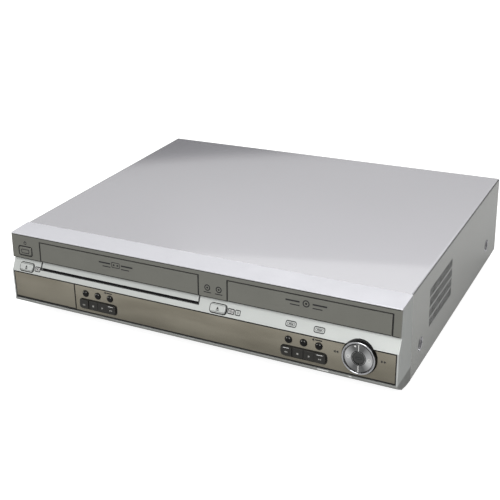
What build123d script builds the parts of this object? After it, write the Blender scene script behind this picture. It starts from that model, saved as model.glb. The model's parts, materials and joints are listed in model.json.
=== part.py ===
"""Combined disc and tape player: a full-width silver box with a stepped front, a cassette door on
the left, a disc tray on the right, and the mechanisms and boards that work them inside.

Millimetres. The front faces -Y, +X is to the right seen from the front, +Z is up, the feet stand
on Z = 0 and the origin is at the bottom centre. Depths are measured back from the foot of the
grey fascia, and heights up from the ground.
"""

import math
import os

from build123d import *

os.makedirs("parts", exist_ok=True)

# ---------------------------------------------------------------- overall size
WIDTH = 430.0
HALF = WIDTH / 2
HEIGHT = 95.0
BODY_DEPTH = 333.0
FOOT_HEIGHT = 7.0
SHEET = 1.0

# ---------------------------------------------------------------- fits
MOVING_GAP = 0.3
LINE_GAP = 0.5
RUNNING_FIT = 0.05
SLIP = 0.1

# ---------------------------------------------------------------- front section, depth and height
FASCIA_TALL = 26.0
SILVER_TALL = 13.0
WINDOW_TALL = 29.8
RAIL_TALL = 2.6
FASCIA_STEP = 1.0
WINDOW_LINE = 0.4
RAIL_LINE = 1.0
FASCIA_TOP = (2.5, HEIGHT - 1.8)
FASCIA_FOOT = (0.0, FASCIA_TOP[1] - FASCIA_TALL)
SILVER_TOP = (3.0, FASCIA_FOOT[1] - FASCIA_STEP)
SILVER_FOOT = (-4.4, SILVER_TOP[1] - SILVER_TALL)
WINDOW_TOP = (-4.4, SILVER_FOOT[1] - WINDOW_LINE)
WINDOW_FOOT = (-6.5, WINDOW_TOP[1] - WINDOW_TALL)
RAIL_DEPTH = -6.7
RAIL_TOP = WINDOW_FOOT[1] - RAIL_LINE
RAIL_FOOT = RAIL_TOP - RAIL_TALL
CHIN_KNEE = (5.5, FOOT_HEIGHT + 4.4)
CHIN_HEEL = (18.0, FOOT_HEIGHT + 1.4)
BEZEL_BACK = 29.7
BEZEL_BROW = (2.75, HEIGHT - 0.7)
BROW_RADIUS = 0.9
BEZEL_WALL = 2.2
FASCIA_THICK = 1.2
WINDOW_THICK = 2.0
RIM_WIDTH = 1.4
RAIL_LIP = 1.0
TONGUE_REACH = 5.0
TONGUE_THICK = 1.2
TONGUE_ROOT = 3.0
TONGUE_INSET = 8.0
TONGUE_SPAN = (FOOT_HEIGHT + 7.0, HEIGHT - 7.0)

# ---------------------------------------------------------------- cassette door and mouth
MOUTH_WIDTH = 190.8
MOUTH_MARGIN = 37.4
CASSETTE_X = MOUTH_MARGIN - HALF + MOUTH_WIDTH / 2
MOUTH_TALL = 30.0
MOUTH_TOP = HEIGHT - 6.8
MOUTH_FLOOR = MOUTH_TOP - MOUTH_TALL
DOOR_TOP = MOUTH_TOP - 0.6
DOOR_THICK = 2.0
DOOR_PIVOT = (4.3, DOOR_TOP - 1.0)
DOOR_PIN_R = 1.0
DOOR_BOSS_R = 1.4
LIP_TALL = 5.7
LIP_TOP = SILVER_TOP[1] + 0.1
LIP_FOOT = LIP_TOP - LIP_TALL
LIP_TAIL = (3.2, 5.2)
LIP_LEAN = 0.6
CHEEK_THICK = 2.5
SHELF_THICK = 2.0
SHELF_FRONT = -1.0
MOUTH_BACK = 7.2

# ---------------------------------------------------------------- disc tray
TRAY_MOUTH_WIDTH = 161.6
TRAY_MARGIN = 8.2
TRAY_X = HALF - TRAY_MARGIN - TRAY_MOUTH_WIDTH / 2
TRAY_MOUTH_BACK = 12.0
TRAY_MOUTH_FOOT = FASCIA_FOOT[1] - 0.4
TRAY_FRONT_BACK = 5.0
TRAY_FRONT_FOOT = FASCIA_FOOT[1] + MOVING_GAP
TRAY_WIDTH = 132.0
TRAY_REAR = 166.0
DISC_ROOM = 8.2
TRAY_TOP = MOUTH_TOP - DISC_ROOM
TRAY_THICK = 5.0
TRAY_FLANGE = 3.7
FLANGE_THICK = 2.4
FLANGE_START = 14.0
DISC_CENTRE = 76.0
DISC_RECESS_R = 61.0
DISC_RECESS = 2.0
SMALL_DISC_R = 40.5
SMALL_RECESS = 1.0
PICKUP_WINDOW_W = 38.0
PICKUP_WINDOW_FRONT = 56.0
PICKUP_WINDOW_REAR = 141.0

# ---------------------------------------------------------------- rack and loading gear
MODULE = 1.0
PINION_TEETH = 18
RACK_TEETH = 48
TOOTH_HALF = 0.62
TOOTH_TIP_HALF = 0.32
TOOTH_ROOT_HALF = 0.98
ADDENDUM = 0.9
DEDENDUM = 1.15
ROOT_SINK = 0.4
RACK_OFFSET = 55.0
RACK_BODY = 4.0
RACK_FOOT = TRAY_TOP - 9.6
PINION_DEPTH = 22.0
PINION_FOOT = RACK_FOOT + MOVING_GAP
PINION_TALL = 3.9
PINION_TOP = PINION_FOOT + PINION_TALL
PULLEY_R = 11.0
PULLEY_FOOT = TRAY_TOP - 31.0
PULLEY_HEIGHT = 4.0
GROOVE_R = 1.0
GEAR_HUB_R = 4.0
AXLE_R = 1.5

# ---------------------------------------------------------------- buttons
POWER_AT = (17.4 - HALF, FASCIA_FOOT[1] + 8.7)
POWER_SIZE = (15.6, 8.2)
POWER_CORNER = 1.6
POWER_PROUD = 0.5
EJECT_SIZE = (16.4, 6.4)
EJECT_CORNER = 1.7
EJECT_PROUD = 0.9
EJECT_HEIGHT = SILVER_FOOT[1] + 5.3
CASSETTE_EJECT_X = 18.0 - HALF
DISC_EJECT_X = TRAY_X - 90.9
ROUND_R = 3.4
ROUND_PROUD = 1.1
ROUND_HEIGHT = WINDOW_TOP[1] - 8.4
ROUND_PITCH = 15.1
LEFT_GROUP_X = CASSETTE_X - 22.0
RIGHT_GROUP_X = TRAY_X - 0.8
BAR_WIDTH = 44.4
BAR_HEIGHT = 9.2
BAR_Z = WINDOW_FOOT[1] + 9.9
BAR_CORNER = 3.0
OUTER_KEY_PROUD = 2.2
INNER_KEY_PROUD = 1.4
KEY_EDGE = 0.5
POWER_EDGE = 0.3
EJECT_EDGE = 0.4
EJECT_WALL = 3.8
BUTTON_FLANGE = 0.9
FLANGE_DEPTH = 1.2
STEM_R = 1.5
STEM_END = 4.0
POWER_STEM = 3.0

# ---------------------------------------------------------------- round jog keypad
DIAL_AT = (HALF - 35.8, WINDOW_TOP[1] - 10.2)
DIAL_BASE_R = 16.5
DIAL_FRONT_R = 15.7
DIAL_BORE_R = 14.4
DIAL_PROUD = 2.9
DIAL_TRIM = 0.5
DIAL_TRIM_EDGE = 0.2
DIAL_HOLE_R = 16.8
DIAL_TAIL = 1.5
EAR_REACH = 20.0
EAR_HALF = 6.0
DIAL_LEDGE_R = 12.0
SPLIT_RIB = 1.1
SPLIT_RIB_PROUD = 2.6
SPLIT_RIB_START = 6.4
SPLIT_RIB_END = 14.9
DIAL_KEY_PROUD = 2.4
DIAL_KEY_BACK = 3.0
DIAL_STEM_OUT = 8.5
DIAL_STEM = 5.2
CENTRE_KEY_R = 5.7
CENTRE_KEY_PROUD = 2.2
CENTRE_KEY_EDGE = 0.6

# ---------------------------------------------------------------- jack bay behind the flip-down door
JACK_DOOR_RIGHT = CASSETTE_X - 51.0
JACK_DOOR_FOOT = WINDOW_FOOT[1] + 0.4
JACK_PIVOT = (-2.3, WINDOW_FOOT[1] + 3.0)
JACK_PIN_R = 0.9
JACK_LUG_R = 1.7
LUG_INSET = 2.6
LUG_ROOT = 1.0
LUG_ARM_BACK = 2.0
POCKET_BACK = 1.0
POCKET_FOOT = RAIL_TOP - 2.0
BAY_LEFT = 5.0 - HALF
BAY_RIGHT = JACK_DOOR_RIGHT - 2.8
BAY_FOOT = WINDOW_FOOT[1] + 2.8
BAY_TOP = WINDOW_TOP[1] - 1.8
BAY_FRONT = -2.0
BAY_BACK = 22.0
BAY_WALL = 2.0
FRONT_JACK_PITCH = 18.0
FRONT_JACK_Z = (BAY_FOOT + BAY_TOP) / 2
FRONT_JACK_REACH = 10.0

# ---------------------------------------------------------------- round phono jack
JACK_R = 4.15
JACK_BORE_R = 1.65
JACK_FLANGE_R = 6.0
JACK_FLANGE = 2.0
JACK_HOLE_GAP = 0.35

# ---------------------------------------------------------------- cover
COVER_CORNER = 2.5
COVER_FOOT = FOOT_HEIGHT + 0.4
REAR_FLANGE = 8.0
VENT_FRONT = 80.0
VENT_COLUMNS = 19
VENT_PITCH = 3.8
VENT_WIDTH = 1.7
VENT_ROWS = 4
VENT_ROW_PITCH = 10.6
VENT_LENGTH = 8.8
VENT_FOOT = 35.2
SIDE_SCREWS = ((56.0, 31.0), (290.0, 30.0))
CUP_R = 8.0
CUP_DEPTH = 2.0
SCREW_R = 1.6
SCREW_HEAD_R = 3.6
SCREW_HEAD = 1.4
SCREW_REACH = 5.0
SLOT_HALF = (2.0, 0.4)
SLOT_SINK = 0.8
REAR_SCREWS = (-150.0, 0.0, 150.0)

# ---------------------------------------------------------------- feet and chassis
FOOT_X = HALF - 45.0
FOOT_FRONT = 58.0
FOOT_REAR = 296.0
FOOT_TOP_R = 14.0
FOOT_BASE_R = 12.0
FOOT_RIM = 3.0
FOOT_DISH = 1.0
CHASSIS_WALL = 24.0
TAB_TOP = 40.0
TAB_HALF = 12.0
BOARD_Z = 14.0
BOARD_THICK = 1.6
BOSS_R = 4.0
BOSS_INSET = 8.0
BEADS = (45.0, 262.0)
BEAD_HALF = 3.0
BEAD_END = 30.0
FLOOR_SLOTS = 12
FLOOR_SLOT_X = 60.0
FLOOR_SLOT_PITCH = 10.0
FLOOR_SLOT_HALF = 1.5
FLOOR_SLOT_SPAN = (205.0, 235.0)

# ---------------------------------------------------------------- tape deck
DECK_Z = 20.0
DECK_THICK = 1.2
DECK_FRONT = 60.0
DECK_REAR = 252.0
DECK_LEFT = CASSETTE_X - 98.4
DECK_RIGHT = CASSETTE_X + 106.2
DECK_POST_INSET = 10.0
DECK_POST_DEPTHS = (72.0, 244.0)
BRACKET_THICK = 1.2
BRACKET_FRONT = 62.0
BRACKET_REAR = 150.0
BRACKET_TOP = MOUTH_TOP - 0.2
SLED_THICK = 1.1
SLED_GAP = 0.4
SLED_FRONT = 64.0
SLED_REAR = 116.0
SLED_TALL = 45.2
SLED_TOP = MOUTH_TOP
SLED_FOOT = SLED_TOP - SLED_TALL
SLED_BAR = 1.2
SLED_BAR_SPAN = (78.0, 94.0)
SLED_TRAVEL = 28.0
SLED_PIN_Z = SLED_TOP - 8.2
SLED_PINS = (70.0, 110.0)
HOLDER_INNER = 188.6
HOLDER_WALL = 1.0
HOLDER_FRONT = 33.0
HOLDER_REAR = 137.0
HOLDER_TOP = MOUTH_FLOOR + 26.2
HOLDER_LEDGE = 14.0
HOLDER_HOLE_HALF = 26.0
HOLDER_HOLE_SPAN = (50.0, 118.0)
HOLDER_DROP = 24.0
HOLDER_PIN_Z = MOUTH_FLOOR + 12.8
HOLDER_PINS = (76.0, 104.0)
GUIDE_PIN_R = 1.5
REEL_SPACING = 92.0
REEL_DEPTH = 106.0
REEL_TABLE_R = 20.0
REEL_HUB_R = 7.4
REEL_TOP = 40.0
REEL_FLANGE = (3.0, 6.0)
REEL_SPLINES = 6
SPLINE_SIZE = (2.4, 1.6)
DRUM_DEPTH = 212.0
DRUM_R = 31.0
DRUM_TILT = 6.0
DRUM_SPLIT = 18.0
DRUM_TOP = 38.0
DRUM_SINK = 6.0
DRUM_DISH = 4.0
DRUM_RIM = 6.0
DRUM_HUB_R = 9.0
DRUM_SHAFT_R = 2.0
DRUM_SHAFT_FOOT = 3.0
CAPSTAN_AT = (CASSETTE_X + 58.0, 172.0)
CAPSTAN_R = 1.5
CAPSTAN_TOP = 52.0
CAPSTAN_BEARING = 7.0
CAPSTAN_BEARING_R = 4.0
FLYWHEEL_R = 18.0
FLYWHEEL_GAP = 3.0
FLYWHEEL_THICK = 5.0
PINCH_PIVOT = (CASSETTE_X + 73.2, 190.0)
PINCH_ARM = 17.0
PINCH_ANGLE = 272.0
PINCH_ROLLER_R = 6.0
PINCH_ROLLER_TALL = 16.0
PINCH_FOOT = 30.0
PINCH_THICK = 2.0
PINCH_BOSS_R = 4.0
PINCH_BOSS_TALL = 9.0
PINCH_REST_R = 3.0

# ---------------------------------------------------------------- disc drive
DRIVE_FRONT = 12.0
DRIVE_REAR = 190.0
DRIVE_HALF = 70.0
DRIVE_WALL = 2.5
DRIVE_FLOOR = TRAY_TOP - 34.0
DRIVE_TOP = TRAY_TOP + 4.0
DRIVE_FLOOR_THICK = 2.0
DRIVE_RIB = 3.0
DRIVE_RIB_THICK = (2.0, 1.5)
DRIVE_LEG = 8.0
DRIVE_LEGS = (34.0, 184.0)
DRIVE_PILLAR_R = 3.5
PILLAR_INSET = (4.0, 5.0)
FLOOR_WINDOW = (18.0, 92.0, 140.0)
SIDE_WINDOW = (50.0, 8.0, 80.0, 160.0)
GEAR_SEAT_R = 3.5
MOTOR_OFFSET = 52.0
MOTOR_DEPTH = 26.0
MOTOR_R = 11.0
MOTOR_TALL = 12.0
MOTOR_SHAFT = 19.0
MOTOR_SHAFT_R = 1.0
MOTOR_NOSE_R = 4.0
MOTOR_PULLEY = (14.0, 18.0)
MOTOR_PULLEY_R = 3.0
TRAVERSE_Z = TRAY_TOP - 22.0
TRAVERSE_THICK = 2.0
TRAVERSE_HALF = 30.0
TRAVERSE_FRONT = 58.0
TRAVERSE_REAR = 152.0
TRAVERSE_SLOT = (12.0, 95.0, 143.0)
SPINDLE_MOTOR_R = 13.0
SPINDLE_MOTOR_TOP = TRAVERSE_Z + 10.8
TURNTABLE_R = 14.5
TURNTABLE_TOP = TRAVERSE_Z + 15.6
TURNTABLE_SEAT = TRAVERSE_Z + 12.8
TURNTABLE_HUB_R = 7.4
TURNTABLE_TAPER = 14.0
SPINDLE_R = 1.0
ROD_R = 1.5
ROD_HALF = 20.0
ROD_Z = TRAVERSE_Z + 6.0
ROD_HOLD = 3.0
SLED_BLOCK_FRONT = 91.0
SLED_BLOCK_REAR = 113.0
SLED_SIDE = 4.0
SLED_CLEAR = 0.6
LENS_BLOCK = (9.0, 8.0, 6.0)
LENS_BLOCK_TALL = 2.0
LENS_R = 3.0
LENS_TALL = 1.5
BRIDGE_FRONT = 62.0
BRIDGE_REAR = 90.0
BRIDGE_THICK = 1.2
BRIDGE_RIB_X = 46.0
BRIDGE_RIB_HALF = 20.0
BRIDGE_RIB = (1.0, 3.0)
PUCK_R = 12.0
PUCK_FLANGE_R = 16.0
PUCK_FLANGE = 1.5
PUCK_LIFT = 1.6
PUCK_DISH_R = 7.8
PUCK_DISH = 2.0
PUCK_HOLE_GAP = 0.6

# ---------------------------------------------------------------- boards
FRONT_BOARD_DEPTH = 8.5
FRONT_BOARD = (JACK_DOOR_RIGHT + 4.2, HALF - 6.0, FOOT_HEIGHT + 7.0, SILVER_FOOT[1] + 1.3)
FRONT_BOARD_POSTS = (-75.0, 95.0, DIAL_AT[0] - 24.2, HALF - 10.0)
BOARD_POST_R = 2.6
BOARD_POST_FRONT = -2.5
BOARD_POST_Z = WINDOW_FOOT[1] + 7.0
SWITCH_HALF = 3.0
SWITCH_GAP = 1.2
SWITCH_DROP = 0.5
DISPLAY = (-65.0, 85.0, WINDOW_FOOT[1] + 5.0, WINDOW_TOP[1] - 3.3)
DISPLAY_BACKING = 1.0
DISPLAY_GLASS = -1.5
DISPLAY_FRAME = (4.0, 2.0)
DISPLAY_ROOM = (2.0, 1.0)
DISPLAY_CUT_BACK = 3.0
MAIN_BOARD = (DECK_RIGHT + 4.0, HALF - 6.0, 196.0, 329.0)
POWER_LEFT = 8.0 - HALF
POWER_BOARD = (POWER_LEFT, POWER_LEFT + 150.0, 262.0, 329.0)
CHIP_TALL = 2.0
CAP_TALL = 11.0
CAP_R = 4.0
CAPS = 5
CAP_PITCH = 13.0
CAP_START = (110.0, 304.0)
TRANSFORMER = (POWER_LEFT + 103.0, 297.0, 32.0, 30.0, 28.4)
MAINS_CAP = (POWER_LEFT + 67.0, 300.0)
MAINS_CAP_R = 11.0
MAINS_CAP_TALL = 30.4
OUT_CAP_X = POWER_LEFT + 137.0
OUT_CAP_DEPTHS = (275.0, 292.0, 309.0)
OUT_CAP_R = 6.0
OUT_CAP_TALL = 22.4
HEAT_SINK = (POWER_LEFT + 49.5, 294.0, 5.0, 52.0, 32.4)
FILTER = (POWER_LEFT + 20.0, 279.0, 18.0, 14.0, 16.4)

# ---------------------------------------------------------------- rear sockets
PANEL_BACK = 332.0
JACK_PITCH = 16.0
JACK_COLUMNS = tuple(MAIN_BOARD[0] + 7.0 + column * JACK_PITCH for column in range(4))
JACK_ROWS = (34.0, 50.0, 66.0)
REAR_JACK_REACH = 7.0
RF_X = HALF - 35.0
RF_ROWS = (36.0, 58.0)
RF_R = 4.75
RF_BORE_R = 2.2
RF_REACH = 9.0
RF_CAN = (11.0, 42.0, 14.0)
JACK_BLOCK = (7.0, 14.0, 7.0)
INLET_X = POWER_LEFT + 32.0
INLET_Z = 30.0
INLET_SIZE = (24.0, 16.0)
INLET_SLOT = (16.4, 7.8)
INLET_SLOT_DEEP = 13.0
INLET_LENGTH = 18.0
INLET_PROUD = 1.0
INLET_LEG = (8.0, 6.0)
INLET_PIN_R = 1.2
INLET_PIN_SPACING = 8.6
INLET_PIN_SUNK = 2.0
INLET_PIN_ROOT = 1.0
REAR_SLOTS = 14
REAR_SLOT_X = -118.0
REAR_SLOT_PITCH = 6.0
REAR_SLOT_HALF = 1.0
REAR_SLOT_SPAN = (HEIGHT - 45.0, HEIGHT - 17.0)

# ---------------------------------------------------------------- derived
CUT_FRONT = -10.0


def direction(top, foot):
    """Unit vector up a face of the front section, as depth and height."""
    rise = (top[0] - foot[0], top[1] - foot[1])
    length = math.hypot(*rise)
    return rise[0] / length, rise[1] / length


def depth_at(top, foot, height):
    """Depth of a front face at a height."""
    return foot[0] + (top[0] - foot[0]) * (height - foot[1]) / (top[1] - foot[1])


window_up = direction(WINDOW_TOP, WINDOW_FOOT)
dial_reach = (
    -depth_at(WINDOW_TOP, WINDOW_FOOT, DIAL_AT[1])
    + (DIAL_PROUD + DIAL_TRIM) * window_up[1]
    + DIAL_FRONT_R * window_up[0]
)
FRONT = (dial_reach - BODY_DEPTH - RF_REACH) / 2


def spread(start, pitch, count):
    """Evenly spaced positions."""
    return [start + i * pitch for i in range(count)]


def save(builder, name):
    """Label one sub-part and write it out."""
    builder.part.label = name
    export_step(builder.part, f"parts/{name}.step")


def block(x0, x1, d0, d1, z0, z1, mode=Mode.ADD):
    """Box between two X values, two depths and two heights."""
    with Locations(((x0 + x1) / 2, FRONT + (d0 + d1) / 2, (z0 + z1) / 2)):
        Box(x1 - x0, d1 - d0, z1 - z0, mode=mode)


def stand(spot, foot, mode=Mode.ADD):
    """Box on a level, from its middle X and depth, its width and length, and its height."""
    x, depth, wide, long, tall = spot
    block(x - wide / 2, x + wide / 2, depth - long / 2, depth + long / 2, foot, foot + tall, mode)


def post(x, depth, z0, z1, radius, mode=Mode.ADD):
    """Upright cylinder."""
    with Locations((x, FRONT + depth, (z0 + z1) / 2)):
        Cylinder(radius, z1 - z0, mode=mode)


def pin_x(x0, x1, depth, z, radius, mode=Mode.ADD):
    """Cylinder lying along X."""
    with Locations(Location(((x0 + x1) / 2, FRONT + depth, z), (0, 90, 0))):
        Cylinder(radius, abs(x1 - x0), mode=mode)


def pin_y(x, d0, d1, z, radius, mode=Mode.ADD):
    """Cylinder lying along Y."""
    with Locations(Location((x, FRONT + (d0 + d1) / 2, z), (90, 0, 0))):
        Cylinder(radius, abs(d1 - d0), mode=mode)


def section(points, x0, x1, mode=Mode.ADD):
    """Polygon of depths and heights carried along X."""
    with BuildSketch(Plane.YZ.offset(x0)) as outline:
        with BuildLine():
            Polyline(*[(FRONT + depth, height) for depth, height in points], close=True)
        make_face()
    extrude(outline.sketch, amount=x1 - x0, mode=mode)


def face_plane(top, foot, x, height):
    """Plane on a front face, with X to the right and its normal out of the front."""
    up = direction(top, foot)
    origin = (x, FRONT + depth_at(top, foot, height), height)
    return Plane(origin=origin, x_dir=(1, 0, 0), z_dir=(0, -up[1], up[0]))


def fascia_plane(x, height):
    return face_plane(FASCIA_TOP, FASCIA_FOOT, x, height)


def silver_plane(x, height):
    return face_plane(SILVER_TOP, SILVER_FOOT, x, height)


def window_plane(x, height):
    return face_plane(WINDOW_TOP, WINDOW_FOOT, x, height)


def shifted(point, amount):
    """Point moved back by an amount."""
    return point[0] + amount, point[1]


THROUGH = 12.0
ROUND_XS = {
    "left": spread(LEFT_GROUP_X - ROUND_PITCH, ROUND_PITCH, 3),
    "right": spread(RIGHT_GROUP_X - ROUND_PITCH, ROUND_PITCH, 3),
}
BAR_XS = {"left": LEFT_GROUP_X - 0.2, "right": RIGHT_GROUP_X + 0.2}


def cut_rounded(plane, width, height, corner):
    """Rounded slot through the wall at a face plane."""
    with BuildSketch(plane) as slot:
        RectangleRounded(width, height, corner)
    extrude(slot.sketch, amount=THROUGH, both=True, mode=Mode.SUBTRACT)


def cut_round(plane, radius):
    """Round hole through the wall at a face plane."""
    with BuildSketch(plane) as hole:
        Circle(radius)
    extrude(hole.sketch, amount=THROUGH, both=True, mode=Mode.SUBTRACT)


def cut_window_holes():
    """Holes for the round buttons, the two key bars and the round keypad."""
    for side in ("left", "right"):
        for x in ROUND_XS[side]:
            cut_round(window_plane(x, ROUND_HEIGHT), ROUND_R + MOVING_GAP)
        bar = window_plane(BAR_XS[side], BAR_Z)
        cut_rounded(bar, BAR_WIDTH + 2 * MOVING_GAP, BAR_HEIGHT + 2 * MOVING_GAP, BAR_CORNER)
    cut_round(window_plane(*DIAL_AT), DIAL_HOLE_R)


# ================================================================ front bezel
mouth_left = CASSETTE_X - MOUTH_WIDTH / 2
mouth_right = CASSETTE_X + MOUTH_WIDTH / 2
tray_left = TRAY_X - TRAY_MOUTH_WIDTH / 2
tray_right = TRAY_X + TRAY_MOUTH_WIDTH / 2
bezel_outline = [
    (BEZEL_BACK, HEIGHT),
    BEZEL_BROW,
    FASCIA_TOP,
    shifted(FASCIA_TOP, FASCIA_THICK),
    shifted(FASCIA_FOOT, FASCIA_THICK),
    SILVER_TOP,
    SILVER_FOOT,
    (depth_at(WINDOW_TOP, WINDOW_FOOT, SILVER_FOOT[1]) + WINDOW_THICK, SILVER_FOOT[1]),
    (depth_at(WINDOW_TOP, WINDOW_FOOT, RAIL_TOP) + WINDOW_THICK, RAIL_TOP),
    (RAIL_DEPTH, RAIL_TOP),
    (RAIL_DEPTH, RAIL_FOOT),
    CHIN_KNEE,
    CHIN_HEEL,
    (BEZEL_BACK, FOOT_HEIGHT),
]
window_slope = window_up[0] / window_up[1]
silver_up = direction(SILVER_TOP, SILVER_FOOT)
silver_slope = silver_up[0] / silver_up[1]
silver_wall = BEZEL_WALL / silver_up[1]
window_wall = WINDOW_THICK + BEZEL_WALL
fascia_wall = FASCIA_THICK + BEZEL_WALL
brow_inner = HEIGHT - BEZEL_WALL
step_height = SILVER_TOP[1] + BEZEL_WALL
window_datum = WINDOW_TOP[0] + window_wall - window_slope * WINDOW_TOP[1]
silver_datum = SILVER_TOP[0] + silver_wall - silver_slope * SILVER_TOP[1]
inner_knee = (window_datum - silver_datum) / (silver_slope - window_slope)
inner_outline = [
    (BEZEL_BACK + TONGUE_REACH, brow_inner),
    (depth_at(FASCIA_TOP, FASCIA_FOOT, brow_inner) + fascia_wall, brow_inner),
    (depth_at(FASCIA_TOP, FASCIA_FOOT, step_height) + fascia_wall, step_height),
    (SILVER_TOP[0] + silver_wall, SILVER_TOP[1]),
    (window_datum + window_slope * inner_knee, inner_knee),
    (depth_at(WINDOW_TOP, WINDOW_FOOT, RAIL_TOP) + window_wall, RAIL_TOP),
    (CHIN_KNEE[0] + BEZEL_WALL / 2, CHIN_KNEE[1] + BEZEL_WALL),
    (CHIN_HEEL[0], CHIN_HEEL[1] + BEZEL_WALL),
    (BEZEL_BACK + TONGUE_REACH, FOOT_HEIGHT + BEZEL_WALL),
]
rim_section = [
    (depth_at(WINDOW_TOP, WINDOW_FOOT, SILVER_FOOT[1]) + WINDOW_THICK, SILVER_FOOT[1]),
    SILVER_FOOT,
    (depth_at(WINDOW_TOP, WINDOW_FOOT, RAIL_TOP), RAIL_TOP),
    (depth_at(WINDOW_TOP, WINDOW_FOOT, RAIL_TOP) + WINDOW_THICK, RAIL_TOP),
]
bay_mid = (BAY_LEFT + BAY_RIGHT) / 2
front_jack_xs = spread(bay_mid - FRONT_JACK_PITCH, FRONT_JACK_PITCH, 3)
cheek_front = FASCIA_TOP[0] + FASCIA_THICK + LINE_GAP

with BuildPart() as front_bezel:
    section(bezel_outline, -HALF, HALF)
    brow = front_bezel.edges().filter_by(Axis.X).sort_by_distance(
        (0, FRONT + BEZEL_BROW[0], BEZEL_BROW[1])
    )[0]
    fillet(brow, BROW_RADIUS)
    section(inner_outline, -HALF + BEZEL_WALL, HALF - BEZEL_WALL, Mode.SUBTRACT)
    # rims that frame the bronze window at both ends
    section(rim_section, -HALF, -HALF + RIM_WIDTH)
    section(rim_section, HALF - RIM_WIDTH, HALF)
    # tongues that slide inside the cover
    tongue_top = HEIGHT - SHEET - SLIP
    tongue_back = BEZEL_BACK + TONGUE_REACH
    tongue_side = HALF - SHEET - SLIP
    block(
        -HALF + TONGUE_INSET,
        HALF - TONGUE_INSET,
        BEZEL_BACK - TONGUE_ROOT,
        tongue_back,
        tongue_top - TONGUE_THICK,
        tongue_top,
    )
    for side in (-1, 1):
        inner = side * (tongue_side - TONGUE_THICK)
        outer = side * tongue_side
        tongue = (min(inner, outer), max(inner, outer))
        block(*tongue, BEZEL_BACK - TONGUE_ROOT, tongue_back, *TONGUE_SPAN)
    # cassette mouth with its cheeks and guide shelf
    for x in (mouth_left - CHEEK_THICK, mouth_right):
        block(x, x + CHEEK_THICK, cheek_front, BEZEL_BACK, MOUTH_FLOOR - SHELF_THICK, brow_inner)
    shelf_foot = MOUTH_FLOOR - SHELF_THICK
    block(mouth_left, mouth_right, SHELF_FRONT, BEZEL_BACK, shelf_foot, MOUTH_FLOOR)
    mouth_span = (MOUTH_FLOOR, MOUTH_TOP + LINE_GAP)
    block(mouth_left, mouth_right, CUT_FRONT, MOUTH_BACK, *mouth_span, Mode.SUBTRACT)
    pin_x(
        mouth_left - CHEEK_THICK,
        mouth_right + CHEEK_THICK,
        *DOOR_PIVOT,
        DOOR_PIN_R + RUNNING_FIT,
        Mode.SUBTRACT,
    )
    block(
        mouth_left - CHEEK_THICK,
        mouth_right + CHEEK_THICK,
        CUT_FRONT,
        DOOR_PIVOT[0],
        DOOR_PIVOT[1] - DOOR_PIN_R - RUNNING_FIT,
        DOOR_PIVOT[1] + DOOR_PIN_R + RUNNING_FIT,
        Mode.SUBTRACT,
    )
    # tray mouth
    tray_span = (TRAY_MOUTH_FOOT, MOUTH_TOP)
    block(tray_left, tray_right, CUT_FRONT, TRAY_MOUTH_BACK, *tray_span, Mode.SUBTRACT)
    # jack bay behind the flip-down door
    block(
        BAY_LEFT - BAY_WALL,
        BAY_RIGHT + BAY_WALL,
        BAY_FRONT,
        BAY_BACK + BAY_WALL,
        BAY_FOOT - BAY_WALL,
        BAY_TOP + BAY_WALL,
    )
    block(BAY_LEFT, BAY_RIGHT, CUT_FRONT, BAY_BACK, BAY_FOOT, BAY_TOP, Mode.SUBTRACT)
    for x in front_jack_xs:
        pin_y(x, BAY_BACK, BAY_BACK + BAY_WALL, FRONT_JACK_Z, JACK_R + JACK_HOLE_GAP, Mode.SUBTRACT)
    # swing pocket under the flip-down door, and its two bearing lugs
    block(
        -HALF + RIM_WIDTH,
        JACK_DOOR_RIGHT,
        RAIL_DEPTH + RAIL_LIP,
        POCKET_BACK,
        POCKET_FOOT,
        BAY_FOOT,
        Mode.SUBTRACT,
    )
    for x, out in ((BAY_LEFT, 1), (BAY_RIGHT, -1)):
        lug_ends = (x - LUG_ROOT * out, x + LUG_INSET * out)
        lug = (min(lug_ends), max(lug_ends))
        lug_arm = (JACK_PIVOT[1], JACK_PIVOT[1] + JACK_LUG_R)
        block(*lug, JACK_PIVOT[0], LUG_ARM_BACK, *lug_arm)
        pin_x(*lug, *JACK_PIVOT, JACK_LUG_R)
        pin_x(*lug, *JACK_PIVOT, JACK_PIN_R + RUNNING_FIT, Mode.SUBTRACT)
    # opening for the display and bosses for the front board
    block(
        DISPLAY[0] - DISPLAY_ROOM[0],
        DISPLAY[1] + DISPLAY_ROOM[0],
        CUT_FRONT,
        DISPLAY_CUT_BACK,
        DISPLAY[2] - DISPLAY_ROOM[1],
        DISPLAY[3] + DISPLAY_ROOM[1],
        Mode.SUBTRACT,
    )
    for x in FRONT_BOARD_POSTS:
        pin_y(x, BOARD_POST_FRONT, FRONT_BOARD_DEPTH, BOARD_POST_Z, BOARD_POST_R)
    # button holes
    cut_window_holes()
    power_hole = (POWER_SIZE[0] + 2 * MOVING_GAP, POWER_SIZE[1] + 2 * MOVING_GAP)
    cut_rounded(fascia_plane(*POWER_AT), *power_hole, POWER_CORNER)
    for x in (CASSETTE_EJECT_X, DISC_EJECT_X):
        cut_rounded(
            silver_plane(x, EJECT_HEIGHT),
            EJECT_SIZE[0] + 2 * MOVING_GAP,
            EJECT_SIZE[1] + 2 * MOVING_GAP,
            EJECT_CORNER,
        )
save(front_bezel, "front_bezel")

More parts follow.
